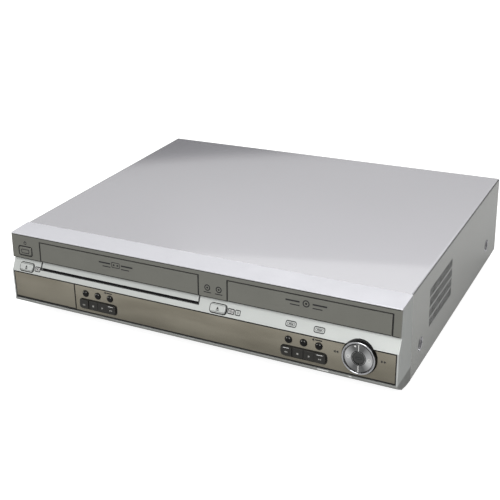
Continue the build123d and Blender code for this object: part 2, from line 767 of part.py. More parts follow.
# ================================================================ grey upper fascia
fascia_section = [
    FASCIA_TOP,
    FASCIA_FOOT,
    shifted(FASCIA_FOOT, FASCIA_THICK),
    shifted(FASCIA_TOP, FASCIA_THICK),
]
with BuildPart() as upper_fascia:
    section(fascia_section, -HALF + SLIP, HALF - SLIP)
    for mouth in ((mouth_left, mouth_right), (tray_left, tray_right)):
        block(*mouth, CUT_FRONT, BEZEL_BACK, TRAY_MOUTH_FOOT, MOUTH_TOP, Mode.SUBTRACT)
    cut_rounded(fascia_plane(*POWER_AT), *power_hole, POWER_CORNER)
save(upper_fascia, "upper_fascia")

# ================================================================ bronze window
window_section = [
    WINDOW_TOP,
    WINDOW_FOOT,
    shifted(WINDOW_FOOT, WINDOW_THICK),
    shifted(WINDOW_TOP, WINDOW_THICK),
]
with BuildPart() as window_panel:
    section(window_section, JACK_DOOR_RIGHT + LINE_GAP, HALF - RIM_WIDTH - SLIP)
    cut_window_holes()
save(window_panel, "window_panel")

# ================================================================ flip-down jack door
jack_door_section = [
    WINDOW_TOP,
    (depth_at(WINDOW_TOP, WINDOW_FOOT, JACK_DOOR_FOOT), JACK_DOOR_FOOT),
    (depth_at(WINDOW_TOP, WINDOW_FOOT, JACK_DOOR_FOOT) + WINDOW_THICK, JACK_DOOR_FOOT),
    (WINDOW_TOP[0] + WINDOW_THICK - MOVING_GAP, WINDOW_TOP[1]),
]
hinge_inset = 3.0
hinge_knuckle = 3.5
knuckle_root = 1.0
knuckle_relief = 0.5
hinge_pin_inset = 0.4
knuckle_front = depth_at(WINDOW_TOP, WINDOW_FOOT, JACK_PIVOT[1]) + knuckle_root
with BuildPart() as jack_door:
    section(jack_door_section, -HALF + RIM_WIDTH + MOVING_GAP, JACK_DOOR_RIGHT)
    for x, out in ((BAY_LEFT, 1), (BAY_RIGHT, -1)):
        near = x + hinge_inset * out
        far = near + hinge_knuckle * out
        knuckle = (min(near, far), max(near, far))
        knuckle_span = (JACK_PIVOT[1] - JACK_PIN_R, JACK_PIVOT[1] + JACK_LUG_R)
        block(*knuckle, knuckle_front, JACK_PIVOT[0], *knuckle_span)
        pin_x(*knuckle, *JACK_PIVOT, JACK_LUG_R - knuckle_relief)
        tip = x + hinge_pin_inset * out
        pin_x(min(tip, far), max(tip, far), *JACK_PIVOT, JACK_PIN_R)
save(jack_door, "jack_door")

# ================================================================ front phono jacks
with BuildPart() as front_jacks:
    for x in front_jack_xs:
        flange_span = (BAY_BACK + BAY_WALL, BAY_BACK + BAY_WALL + JACK_FLANGE)
        pin_y(x, *flange_span, FRONT_JACK_Z, JACK_FLANGE_R)
        pin_y(x, BAY_BACK - FRONT_JACK_REACH, BAY_BACK + BAY_WALL, FRONT_JACK_Z, JACK_R)
        pin_y(
            x,
            BAY_BACK - FRONT_JACK_REACH,
            BAY_BACK,
            FRONT_JACK_Z,
            JACK_BORE_R,
            Mode.SUBTRACT,
        )
save(front_jacks, "front_jacks")

# ================================================================ cassette door
door_left = mouth_left + LINE_GAP
door_right = mouth_right - LINE_GAP
door_foot = FASCIA_FOOT[1] + SLIP
web_foot = LIP_TOP + 2.5
web_top = LIP_TOP + 6.0
door_section = [
    (depth_at(FASCIA_TOP, FASCIA_FOOT, DOOR_TOP), DOOR_TOP),
    (depth_at(FASCIA_TOP, FASCIA_FOOT, door_foot), door_foot),
    (LIP_TAIL[0] + LIP_LEAN, LIP_TOP),
    (LIP_TAIL[0], LIP_FOOT),
    (LIP_TAIL[1], LIP_FOOT),
    (LIP_TAIL[1], web_foot),
    (DOOR_THICK + LIP_LEAN, web_top),
    (depth_at(FASCIA_TOP, FASCIA_FOOT, DOOR_TOP) + DOOR_THICK, DOOR_TOP),
]
boss_length = 3.0
pin_length = 2.0
with BuildPart() as cassette_door:
    section(door_section, door_left, door_right)
    for x, out in ((door_left, -1), (door_right, 1)):
        boss = (min(x, x - boss_length * out), max(x, x - boss_length * out))
        pin_x(*boss, *DOOR_PIVOT, DOOR_BOSS_R)
        tip = x + pin_length * out
        pin_x(min(x, tip), max(x, tip), *DOOR_PIVOT, DOOR_PIN_R)
save(cassette_door, "cassette_door")

lip_lead = 0.4
lip_section = [
    (depth_at(SILVER_TOP, SILVER_FOOT, LIP_TOP) - lip_lead, LIP_TOP),
    (depth_at(SILVER_TOP, SILVER_FOOT, LIP_FOOT), LIP_FOOT),
    (LIP_TAIL[0], LIP_FOOT),
    (LIP_TAIL[0] + LIP_LEAN, LIP_TOP),
]
with BuildPart() as cassette_door_lip:
    section(lip_section, door_left, door_right)
save(cassette_door_lip, "cassette_door_lip")

# ================================================================ tray front and disc tray
tray_front_section = [
    (depth_at(FASCIA_TOP, FASCIA_FOOT, DOOR_TOP), DOOR_TOP),
    (depth_at(FASCIA_TOP, FASCIA_FOOT, TRAY_FRONT_FOOT), TRAY_FRONT_FOOT),
    (TRAY_FRONT_BACK, TRAY_FRONT_FOOT),
    (TRAY_FRONT_BACK, DOOR_TOP),
]
with BuildPart() as tray_front:
    section(tray_front_section, tray_left + LINE_GAP, tray_right - LINE_GAP)
save(tray_front, "tray_front")

tray_half = TRAY_WIDTH / 2
tray_foot = TRAY_TOP - TRAY_THICK
pitch = math.pi * MODULE
rack_x = TRAY_X - RACK_OFFSET
rack_start = PINION_DEPTH - 2.0 * pitch


def rack_tooth(depth):
    """One rack tooth as a closed outline in X and depth, pointing to +X."""
    return [
        (rack_x - DEDENDUM, FRONT + depth - TOOTH_ROOT_HALF),
        (rack_x + ADDENDUM, FRONT + depth - TOOTH_TIP_HALF),
        (rack_x + ADDENDUM, FRONT + depth + TOOTH_TIP_HALF),
        (rack_x - DEDENDUM, FRONT + depth + TOOTH_ROOT_HALF),
    ]


with BuildPart() as disc_tray:
    block(TRAY_X - tray_half, TRAY_X + tray_half, TRAY_FRONT_BACK, TRAY_REAR, tray_foot, TRAY_TOP)
    edge_half = tray_half + TRAY_FLANGE
    block(
        TRAY_X - edge_half,
        TRAY_X + edge_half,
        FLANGE_START,
        TRAY_REAR,
        tray_foot,
        tray_foot + FLANGE_THICK,
    )
    recess_floor = TRAY_TOP - DISC_RECESS
    post(TRAY_X, DISC_CENTRE, recess_floor, TRAY_TOP, DISC_RECESS_R, Mode.SUBTRACT)
    post(
        TRAY_X, DISC_CENTRE, recess_floor - SMALL_RECESS, recess_floor, SMALL_DISC_R, Mode.SUBTRACT
    )
    window_half = PICKUP_WINDOW_W / 2
    window_front = PICKUP_WINDOW_FRONT + window_half
    with BuildSketch(Plane.XY.offset(tray_foot)):
        with Locations((TRAY_X, FRONT + (window_front + PICKUP_WINDOW_REAR) / 2)):
            Rectangle(PICKUP_WINDOW_W, PICKUP_WINDOW_REAR - window_front)
        with Locations((TRAY_X, FRONT + window_front)):
            Circle(window_half)
    extrude(amount=TRAY_THICK, mode=Mode.SUBTRACT)
    # rack under the left edge
    block(
        rack_x - RACK_BODY,
        rack_x - DEDENDUM,
        rack_start - pitch,
        TRAY_REAR,
        RACK_FOOT,
        tray_foot,
    )
    with BuildSketch(Plane.XY.offset(RACK_FOOT)):
        for i in range(RACK_TEETH):
            with BuildLine():
                Polyline(*rack_tooth(rack_start + i * pitch), close=True)
            make_face()
    extrude(amount=tray_foot - RACK_FOOT)
save(disc_tray, "disc_tray")

# ================================================================ loading gear
pinion_pitch_r = MODULE * PINION_TEETH / 2
pinion_x = rack_x + pinion_pitch_r


def gear_tooth(angle):
    """One pinion tooth as a closed outline about the gear centre."""
    tip_r = pinion_pitch_r + ADDENDUM
    root_r = pinion_pitch_r - DEDENDUM - ROOT_SINK
    shape = [
        (root_r, -TOOTH_ROOT_HALF),
        (pinion_pitch_r, -TOOTH_HALF),
        (tip_r, -TOOTH_TIP_HALF),
        (tip_r, TOOTH_TIP_HALF),
        (pinion_pitch_r, TOOTH_HALF),
        (root_r, TOOTH_ROOT_HALF),
    ]
    turn = math.radians(angle)
    return [
        (
            pinion_x + x * math.cos(turn) - y * math.sin(turn),
            FRONT + PINION_DEPTH + x * math.sin(turn) + y * math.cos(turn),
        )
        for x, y in shape
    ]


tooth_angle = 360.0 / PINION_TEETH
with BuildPart() as loading_gear:
    post(pinion_x, PINION_DEPTH, PINION_FOOT, PINION_TOP, pinion_pitch_r - DEDENDUM)
    with BuildSketch(Plane.XY.offset(PINION_FOOT)):
        for i in range(PINION_TEETH):
            with BuildLine():
                Polyline(*gear_tooth(180.0 + (i + 0.5) * tooth_angle), close=True)
            make_face()
    extrude(amount=PINION_TOP - PINION_FOOT)
    post(pinion_x, PINION_DEPTH, PULLEY_FOOT, PINION_FOOT, GEAR_HUB_R)
    post(pinion_x, PINION_DEPTH, PULLEY_FOOT, PULLEY_FOOT + PULLEY_HEIGHT, PULLEY_R)
    with Locations((pinion_x, FRONT + PINION_DEPTH, PULLEY_FOOT + PULLEY_HEIGHT / 2)):
        Torus(PULLEY_R, GROOVE_R, mode=Mode.SUBTRACT)
    post(pinion_x, PINION_DEPTH, PULLEY_FOOT, PINION_TOP, AXLE_R + RUNNING_FIT, Mode.SUBTRACT)
save(loading_gear, "loading_gear")

# ================================================================ disc drive frame
drive_left = TRAY_X - DRIVE_HALF - DRIVE_WALL
drive_right = TRAY_X + DRIVE_HALF + DRIVE_WALL
drive_floor_top = DRIVE_FLOOR + DRIVE_FLOOR_THICK
rib_span = (DRIVE_FRONT, DRIVE_REAR - DRIVE_WALL)
flange_foot = tray_foot - MOVING_GAP
flange_top = tray_foot + FLANGE_THICK + MOVING_GAP
half_leg = DRIVE_LEG / 2
window_half_x, *window_depths = FLOOR_WINDOW
side_x, side_half, *side_depths = SIDE_WINDOW
with BuildPart() as drive_frame:
    block(drive_left, drive_right, DRIVE_FRONT, DRIVE_REAR, DRIVE_FLOOR, DRIVE_TOP)
    block(
        TRAY_X - DRIVE_HALF,
        TRAY_X + DRIVE_HALF,
        CUT_FRONT,
        DRIVE_REAR - DRIVE_WALL,
        drive_floor_top,
        DRIVE_TOP,
        Mode.SUBTRACT,
    )
    for side in (-1, 1):
        x_wall = TRAY_X + side * DRIVE_HALF
        x_rib = x_wall - side * DRIVE_RIB
        rib = (min(x_wall, x_rib), max(x_wall, x_rib))
        block(*rib, *rib_span, flange_foot - DRIVE_RIB_THICK[0], flange_foot)
        block(*rib, *rib_span, flange_top, flange_top + DRIVE_RIB_THICK[1])
        x_leg = x_wall - side * half_leg
        for depth in DRIVE_LEGS:
            leg = (x_leg - half_leg, x_leg + half_leg, depth - half_leg, depth + half_leg)
            block(*leg, FOOT_HEIGHT + SHEET, DRIVE_FLOOR)
        x_pillar = TRAY_X + side * (TRAVERSE_HALF - PILLAR_INSET[0])
        for depth in (TRAVERSE_FRONT + PILLAR_INSET[1], TRAVERSE_REAR - PILLAR_INSET[1]):
            post(x_pillar, depth, drive_floor_top, TRAVERSE_Z, DRIVE_PILLAR_R)
    # windows in the floor and the axle of the loading gear
    window_xs = (TRAY_X - window_half_x, TRAY_X + window_half_x)
    block(*window_xs, *window_depths, DRIVE_FLOOR, drive_floor_top, Mode.SUBTRACT)
    for side in (-1, 1):
        x_slot = TRAY_X + side * side_x
        slot_xs = (x_slot - side_half, x_slot + side_half)
        block(*slot_xs, *side_depths, DRIVE_FLOOR, drive_floor_top, Mode.SUBTRACT)
    post(pinion_x, PINION_DEPTH, drive_floor_top, PINION_TOP - LINE_GAP, AXLE_R)
    post(pinion_x, PINION_DEPTH, drive_floor_top, PULLEY_FOOT - MOVING_GAP, GEAR_SEAT_R)
save(drive_frame, "drive_frame")

motor_at = (pinion_x + MOTOR_OFFSET, MOTOR_DEPTH)
with BuildPart() as loading_motor:
    motor_top = drive_floor_top + MOTOR_TALL
    post(*motor_at, drive_floor_top, motor_top, MOTOR_R)
    post(*motor_at, motor_top, motor_top + 1, MOTOR_NOSE_R)
    post(*motor_at, motor_top, drive_floor_top + MOTOR_SHAFT, MOTOR_SHAFT_R)
    pulley = [drive_floor_top + rise for rise in MOTOR_PULLEY]
    post(*motor_at, *pulley, MOTOR_PULLEY_R)
save(loading_motor, "loading_motor")

# ================================================================ traverse, turntable and pickup
deck_top = TRAVERSE_Z + TRAVERSE_THICK
slot_half, *slot_depths = TRAVERSE_SLOT
rod_front = SLED_BLOCK_FRONT - SLED_SIDE
rod_rear = TRAVERSE_REAR - 1
with BuildPart() as traverse_unit:
    block(
        TRAY_X - TRAVERSE_HALF,
        TRAY_X + TRAVERSE_HALF,
        TRAVERSE_FRONT,
        TRAVERSE_REAR,
        TRAVERSE_Z,
        deck_top,
    )
    slot_xs = (TRAY_X - slot_half, TRAY_X + slot_half)
    block(*slot_xs, *slot_depths, TRAVERSE_Z, deck_top, Mode.SUBTRACT)
    post(TRAY_X, DISC_CENTRE, deck_top, SPINDLE_MOTOR_TOP, SPINDLE_MOTOR_R)
    spindle_hole_r = SPINDLE_R + RUNNING_FIT
    post(TRAY_X, DISC_CENTRE, TRAVERSE_Z, SPINDLE_MOTOR_TOP, spindle_hole_r, Mode.SUBTRACT)
    for side in (-1, 1):
        x_rod = TRAY_X + side * ROD_HALF
        pin_y(x_rod, rod_front, rod_rear, ROD_Z, ROD_R)
        for depth in (rod_front, rod_rear - ROD_HOLD):
            hold = (x_rod - ROD_HOLD, x_rod + ROD_HOLD, depth, depth + ROD_HOLD)
            block(*hold, deck_top, ROD_Z + ROD_HOLD)
save(traverse_unit, "traverse_unit")

with BuildPart() as turntable:
    seat_foot = SPINDLE_MOTOR_TOP + MOVING_GAP
    post(TRAY_X, DISC_CENTRE, seat_foot, TURNTABLE_SEAT, TURNTABLE_R)
    with BuildSketch(Plane.XY.offset(TURNTABLE_SEAT)):
        with Locations((TRAY_X, FRONT + DISC_CENTRE)):
            Circle(TURNTABLE_HUB_R)
    extrude(amount=TURNTABLE_TOP - TURNTABLE_SEAT, taper=TURNTABLE_TAPER)
    post(TRAY_X, DISC_CENTRE, TRAVERSE_Z + 1, TURNTABLE_SEAT, SPINDLE_R)
save(turntable, "turntable")

sled_depth = (SLED_BLOCK_FRONT + SLED_BLOCK_REAR) / 2
sled_reach = ROD_HALF + SLED_SIDE
sled_top = ROD_Z + ROD_HOLD
lens_seat = sled_top + LENS_BLOCK_TALL
lens_half, lens_front, lens_rear = LENS_BLOCK
with BuildPart() as pickup_sled:
    block(
        TRAY_X - sled_reach,
        TRAY_X + sled_reach,
        SLED_BLOCK_FRONT,
        SLED_BLOCK_REAR,
        deck_top + SLED_CLEAR,
        sled_top,
    )
    for side in (-1, 1):
        x_rod = TRAY_X + side * ROD_HALF
        pin_y(x_rod, SLED_BLOCK_FRONT, SLED_BLOCK_REAR, ROD_Z, ROD_R + RUNNING_FIT, Mode.SUBTRACT)
    lens_block = (TRAY_X - lens_half, TRAY_X + lens_half, sled_depth - lens_front, sled_depth + lens_rear)
    block(*lens_block, sled_top, lens_seat)
    post(TRAY_X, sled_depth, lens_seat, lens_seat + LENS_TALL, LENS_R)
save(pickup_sled, "pickup_sled")

# ================================================================ disc clamp
bridge_top = DRIVE_TOP + BRIDGE_THICK
bridge_rib, bridge_rise = BRIDGE_RIB
with BuildPart() as clamp_bridge:
    block(drive_left, drive_right, BRIDGE_FRONT, BRIDGE_REAR, DRIVE_TOP, bridge_top)
    post(TRAY_X, DISC_CENTRE, DRIVE_TOP, bridge_top, PUCK_R + PUCK_HOLE_GAP, Mode.SUBTRACT)
    for side in (-1, 1):
        x_rib = TRAY_X + side * BRIDGE_RIB_X
        rib_xs = (x_rib - BRIDGE_RIB_HALF, x_rib + BRIDGE_RIB_HALF)
        for depth in (BRIDGE_FRONT, BRIDGE_REAR - bridge_rib):
            block(*rib_xs, depth, depth + bridge_rib, bridge_top, bridge_top + bridge_rise)
save(clamp_bridge, "clamp_bridge")

puck_foot = TRAY_TOP + PUCK_LIFT
flange_seat = bridge_top + MOVING_GAP
with BuildPart() as clamp_puck:
    post(TRAY_X, DISC_CENTRE, puck_foot, flange_seat, PUCK_R)
    post(TRAY_X, DISC_CENTRE, flange_seat, flange_seat + PUCK_FLANGE, PUCK_FLANGE_R)
    post(TRAY_X, DISC_CENTRE, puck_foot, puck_foot + PUCK_DISH, PUCK_DISH_R, Mode.SUBTRACT)
save(clamp_puck, "clamp_puck")

# ================================================================ power and eject buttons
with BuildPart() as power_button:
    plane = fascia_plane(*POWER_AT)
    wall = fascia_wall + MOVING_GAP
    with BuildSketch(plane.offset(-wall)):
        RectangleRounded(*POWER_SIZE, POWER_CORNER)
    extrude(amount=wall + POWER_PROUD)
    front_edges = power_button.faces().filter_by(plane).sort_by(Axis.Y)[0].edges()
    chamfer(front_edges, POWER_EDGE)
    with BuildSketch(plane.offset(-wall)):
        RectangleRounded(
            POWER_SIZE[0] + 2 * BUTTON_FLANGE, POWER_SIZE[1] + 2 * BUTTON_FLANGE, POWER_CORNER
        )
    extrude(amount=-FLANGE_DEPTH)
    with BuildSketch(plane.offset(-wall - FLANGE_DEPTH)):
        Circle(STEM_R)
    extrude(amount=-POWER_STEM)
save(power_button, "power_button")

for name, x in (("cassette_eject_button", CASSETTE_EJECT_X), ("disc_eject_button", DISC_EJECT_X)):
    with BuildPart() as eject_button:
        plane = silver_plane(x, EJECT_HEIGHT)
        with BuildSketch(plane.offset(-EJECT_WALL)):
            RectangleRounded(*EJECT_SIZE, EJECT_CORNER)
        extrude(amount=EJECT_WALL + EJECT_PROUD)
        top_edges = eject_button.faces().filter_by(plane).sort_by(Axis.Z)[-1].edges()
        fillet(top_edges, EJECT_EDGE)
        with BuildSketch(plane.offset(-EJECT_WALL)):
            RectangleRounded(EJECT_SIZE[0] + 2 * BUTTON_FLANGE, EJECT_SIZE[1], EJECT_CORNER)
        extrude(amount=-FLANGE_DEPTH)
    save(eject_button, name)

# ================================================================ round buttons and key bars
wall_back = WINDOW_THICK + BEZEL_WALL + MOVING_GAP
for side in ("left", "right"):
    for letter, x in zip("abc", ROUND_XS[side]):
        plane = window_plane(x, ROUND_HEIGHT)
        stem = STEM_END - depth_at(WINDOW_TOP, WINDOW_FOOT, ROUND_HEIGHT)
        with BuildPart() as round_button:
            with BuildSketch(plane.offset(-wall_back)):
                Circle(ROUND_R)
            extrude(amount=wall_back + ROUND_PROUD)
            rim = round_button.faces().filter_by(plane).sort_by(Axis.Y)[0].edges()
            fillet(rim, KEY_EDGE)
            with BuildSketch(plane.offset(-wall_back)):
                Circle(ROUND_R + BUTTON_FLANGE)
            extrude(amount=-FLANGE_DEPTH)
            with BuildSketch(plane.offset(-wall_back - FLANGE_DEPTH)):
                Circle(STEM_R)
            extrude(amount=-(stem - wall_back - FLANGE_DEPTH))
        save(round_button, f"{side}_button_{letter}")

key_pitch = (BAR_WIDTH + MOVING_GAP) / 4
key_width = key_pitch - MOVING_GAP
for side in ("left", "right"):
    for i, letter in enumerate("abcd"):
        x = BAR_XS[side] + (i - 1.5) * key_pitch
        proud = OUTER_KEY_PROUD if i in (0, 3) else INNER_KEY_PROUD
        plane = window_plane(x, BAR_Z)
        stem = STEM_END - depth_at(WINDOW_TOP, WINDOW_FOOT, BAR_Z)
        with BuildPart() as key:
            with BuildSketch(plane.offset(-wall_back)) as outline:
                Rectangle(key_width, BAR_HEIGHT)
                if i in (0, 3):
                    corners = outline.vertices().sort_by(Axis.X)
                    ends = corners[:2] if i == 0 else corners[-2:]
                    fillet(ends, BAR_CORNER - MOVING_GAP)
            extrude(amount=wall_back + proud)
            front = key.faces().filter_by(plane).sort_by(Axis.Y)[0].edges()
            fillet(front, KEY_EDGE)
            with BuildSketch(plane.offset(-wall_back)):
                Rectangle(key_width, BAR_HEIGHT + 2 * BUTTON_FLANGE)
            extrude(amount=-FLANGE_DEPTH)
            with BuildSketch(plane.offset(-wall_back - FLANGE_DEPTH)):
                Circle(STEM_R)
            extrude(amount=-(stem - wall_back - FLANGE_DEPTH))
        save(key, f"{side}_key_{letter}")

# ================================================================ round keypad
dial_plane = window_plane(*DIAL_AT)
dial_back = WINDOW_THICK + BEZEL_WALL
dial_taper = math.degrees(math.atan((DIAL_BASE_R - DIAL_FRONT_R) / DIAL_PROUD))
with BuildPart() as dial_housing:
    with BuildSketch(dial_plane.offset(-dial_back - DIAL_TAIL)):
        Circle(DIAL_BASE_R)
    extrude(amount=dial_back + DIAL_TAIL)
    with BuildSketch(dial_plane):
        Circle(DIAL_BASE_R)
    extrude(amount=DIAL_PROUD, taper=dial_taper)
    with BuildSketch(dial_plane.offset(-dial_back - DIAL_TAIL)):
        Rectangle(2 * EAR_REACH, 2 * EAR_HALF)
    extrude(amount=DIAL_TAIL)
    with BuildSketch(dial_plane.offset(-dial_back - DIAL_TAIL)):
        Circle(DIAL_LEDGE_R)
    extrude(amount=DIAL_TAIL, mode=Mode.SUBTRACT)
    with BuildSketch(dial_plane.offset(-dial_back)):
        Circle(DIAL_BORE_R)
    extrude(amount=dial_back + DIAL_PROUD, mode=Mode.SUBTRACT)
    # light ribs that part the two keys at twelve and six o'clock
    for turn in (1, -1):
        with BuildSketch(dial_plane.offset(-dial_back)):
            with Locations((0, turn * (SPLIT_RIB_START + SPLIT_RIB_END) / 2)):
                Rectangle(SPLIT_RIB, SPLIT_RIB_END - SPLIT_RIB_START)
        extrude(amount=dial_back + SPLIT_RIB_PROUD)
save(dial_housing, "dial_housing")

with BuildPart() as dial_trim:
    with BuildSketch(dial_plane.offset(DIAL_PROUD)):
        Circle(DIAL_FRONT_R)
        Circle(DIAL_BORE_R, mode=Mode.SUBTRACT)
    extrude(amount=DIAL_TRIM)
    outer_rim = dial_trim.edges().filter_by(GeomType.CIRCLE).sort_by(Axis.Y)[0:2]
    chamfer(outer_rim, DIAL_TRIM_EDGE)
save(dial_trim, "dial_trim")

key_r = DIAL_BORE_R - MOVING_GAP
for side, turn in (("left", -1), ("right", 1)):
    with BuildPart() as dial_key:
        with BuildSketch(dial_plane.offset(-DIAL_KEY_BACK)):
            Circle(key_r)
            Circle(CENTRE_KEY_R + MOVING_GAP, mode=Mode.SUBTRACT)
            with Locations((-turn * (key_r - SPLIT_RIB / 2 - MOVING_GAP), 0)):
                Rectangle(2 * key_r, 3 * key_r, mode=Mode.SUBTRACT)
        extrude(amount=DIAL_KEY_BACK + DIAL_KEY_PROUD)
        with BuildSketch(dial_plane.offset(-DIAL_KEY_BACK)):
            with Locations((turn * DIAL_STEM_OUT, 0)):
                Circle(STEM_R)
        extrude(amount=-DIAL_STEM)
    save(dial_key, f"dial_key_{side}")

with BuildPart() as dial_centre_key:
    with BuildSketch(dial_plane.offset(-DIAL_KEY_BACK)):
        Circle(CENTRE_KEY_R)
    extrude(amount=DIAL_KEY_BACK + CENTRE_KEY_PROUD)
    crown = dial_centre_key.faces().filter_by(dial_plane).sort_by(Axis.Y)[0].edges()
    fillet(crown, CENTRE_KEY_EDGE)
    with BuildSketch(dial_plane.offset(-DIAL_KEY_BACK)):
        Circle(STEM_R)
    extrude(amount=-DIAL_STEM)
save(dial_centre_key, "dial_centre_key")

# ================================================================ top cover
cover_front = BEZEL_BACK + MOVING_GAP
rear_screw_z = HEIGHT - REAR_FLANGE / 2
with BuildPart() as top_cover:
    block(-HALF, HALF, cover_front, BODY_DEPTH, COVER_FOOT, HEIGHT)
    long_edges = top_cover.edges().filter_by(Axis.Y).group_by(Axis.Z)[-1]
    fillet(long_edges, COVER_CORNER)
    with BuildSketch(Plane.XZ.offset(-(FRONT + cover_front))) as inner_section:
        inner_height = HEIGHT - SHEET - COVER_FOOT
        with Locations((0, COVER_FOOT + inner_height / 2)):
            Rectangle(WIDTH - 2 * SHEET, inner_height)
        fillet(inner_section.vertices().group_by(Axis.Y)[-1], COVER_CORNER - SHEET)
    extrude(amount=-(BODY_DEPTH - cover_front), mode=Mode.SUBTRACT)
    # flanges that fold over the rear panel
    block(-HALF + SHEET, HALF - SHEET, PANEL_BACK, BODY_DEPTH, HEIGHT - REAR_FLANGE, HEIGHT - SHEET)
    for side in (-1, 1):
        near = side * (HALF - SHEET / 2)
        far = side * (HALF - REAR_FLANGE)
        block(min(near, far), max(near, far), PANEL_BACK, BODY_DEPTH, COVER_FOOT, HEIGHT - SHEET)
    for x in REAR_SCREWS:
        pin_y(x, PANEL_BACK, BODY_DEPTH, rear_screw_z, SCREW_R + SLIP, Mode.SUBTRACT)
    # rows of side vents
    with BuildSketch(Plane.YZ.offset(-HALF)):
        for row in range(VENT_ROWS):
            for column in range(VENT_COLUMNS):
                at = (
                    FRONT + VENT_FRONT + (column + 0.5) * VENT_PITCH,
                    VENT_FOOT + VENT_LENGTH / 2 + row * VENT_ROW_PITCH,
                )
                with Locations(at):
                    Rectangle(VENT_WIDTH, VENT_LENGTH)
    extrude(amount=WIDTH, mode=Mode.SUBTRACT)
    # sunk cups for the side screws
    for depth, height in SIDE_SCREWS:
        for side in (-1, 1):
            skin = side * HALF
            floor = side * (HALF - CUP_DEPTH)
            back = side * (HALF - CUP_DEPTH - SHEET)
            pin_x(min(skin, back), max(skin, back), depth, height, CUP_R)
            mouth = side * (HALF + SHEET)
            pin_x(min(mouth, floor), max(mouth, floor), depth, height, CUP_R - SHEET, Mode.SUBTRACT)
            pin_x(min(mouth, back), max(mouth, back), depth, height, SCREW_R + SLIP, Mode.SUBTRACT)
save(top_cover, "top_cover")

slot_long, slot_wide = SLOT_HALF
cross = ((slot_long, slot_wide), (slot_wide, slot_long))
with BuildPart() as cover_screws:
    for depth, height in SIDE_SCREWS:
        for side in (-1, 1):
            seat = side * (HALF - CUP_DEPTH)
            head = seat + side * SCREW_HEAD
            tip = seat - side * SCREW_REACH
            pin_x(min(seat, head), max(seat, head), depth, height, SCREW_HEAD_R)
            pin_x(min(seat, tip), max(seat, tip), depth, height, SCREW_R)
            sunk = head - side * SLOT_SINK
            slot = (min(sunk, head), max(sunk, head))
            for out, up in cross:
                block(*slot, depth - out, depth + out, height - up, height + up, Mode.SUBTRACT)
    rear_head = BODY_DEPTH + SCREW_HEAD
    for x in REAR_SCREWS:
        pin_y(x, BODY_DEPTH, rear_head, rear_screw_z, SCREW_HEAD_R - SLOT_HALF[1])
        pin_y(x, PANEL_BACK - SCREW_REACH, BODY_DEPTH, rear_screw_z, SCREW_R)
        for out, up in cross:
            slot = (rear_head - SLOT_SINK, rear_head, rear_screw_z - up, rear_screw_z + up)
            block(x - out, x + out, *slot, Mode.SUBTRACT)
save(cover_screws, "cover_screws")

# ================================================================ chassis and feet
floor_top = FOOT_HEIGHT + SHEET
wall_x = HALF - CUP_DEPTH - SHEET
deck_post_xs = (DECK_LEFT + DECK_POST_INSET, DECK_RIGHT - DECK_POST_INSET)
deck_posts = [(x, depth) for x in deck_post_xs for depth in DECK_POST_DEPTHS]


def board_bosses(board):
    """Corner positions of the bosses under a board."""
    x0, x1, d0, d1 = board
    xs = (x0 + BOSS_INSET, x1 - BOSS_INSET)
    depths = (d0 + BOSS_INSET, d1 - BOSS_INSET)
    return [(x, depth) for x in xs for depth in depths]


with BuildPart() as base_chassis:
    block(-wall_x, wall_x, BEZEL_BACK, PANEL_BACK, FOOT_HEIGHT, floor_top)
    for side in (-1, 1):
        outer = side * wall_x
        inner = side * (wall_x - SHEET)
        wall_span = (min(outer, inner), max(outer, inner))
        wall_front = BEZEL_BACK + TONGUE_REACH + SHEET
        wall_rear = PANEL_BACK - 2 * SHEET
        block(*wall_span, wall_front, wall_rear, floor_top, CHASSIS_WALL)
        for depth, height in SIDE_SCREWS:
            block(*wall_span, depth - TAB_HALF, depth + TAB_HALF, CHASSIS_WALL, TAB_TOP)
            pin_x(*wall_span, depth, height, SCREW_R + SLIP, Mode.SUBTRACT)
    # bosses for the boards and the tape deck
    for x, depth in board_bosses(MAIN_BOARD) + board_bosses(POWER_BOARD):
        post(x, depth, floor_top, BOARD_Z, BOSS_R)
    for x, depth in deck_posts:
        post(x, depth, floor_top, DECK_Z, BOSS_R)
    # stiffening beads and floor vents
    bead_x = HALF - BEAD_END
    for depth in BEADS:
        bead = (depth - BEAD_HALF, depth + BEAD_HALF)
        hollow = (depth - BEAD_HALF + SHEET, depth + BEAD_HALF - SHEET)
        block(-bead_x, bead_x, *bead, floor_top, floor_top + SHEET)
        block(-bead_x + SHEET, bead_x - SHEET, *hollow, FOOT_HEIGHT, floor_top, Mode.SUBTRACT)
    for x in spread(FLOOR_SLOT_X, FLOOR_SLOT_PITCH, FLOOR_SLOTS):
        slot_xs = (x - FLOOR_SLOT_HALF, x + FLOOR_SLOT_HALF)
        block(*slot_xs, *FLOOR_SLOT_SPAN, FOOT_HEIGHT, floor_top, Mode.SUBTRACT)
save(base_chassis, "base_chassis")

with BuildPart() as feet:
    for x in (-FOOT_X, FOOT_X):
        for depth in (FOOT_FRONT, FOOT_REAR):
            with BuildSketch(Plane.XY):
                with Locations((x, FRONT + depth)):
                    Circle(FOOT_BASE_R)
            with BuildSketch(Plane.XY.offset(FOOT_HEIGHT)):
                with Locations((x, FRONT + depth)):
                    Circle(FOOT_TOP_R)
            loft()
            post(x, depth, 0, FOOT_DISH, FOOT_BASE_R - FOOT_RIM, Mode.SUBTRACT)
save(feet, "feet")

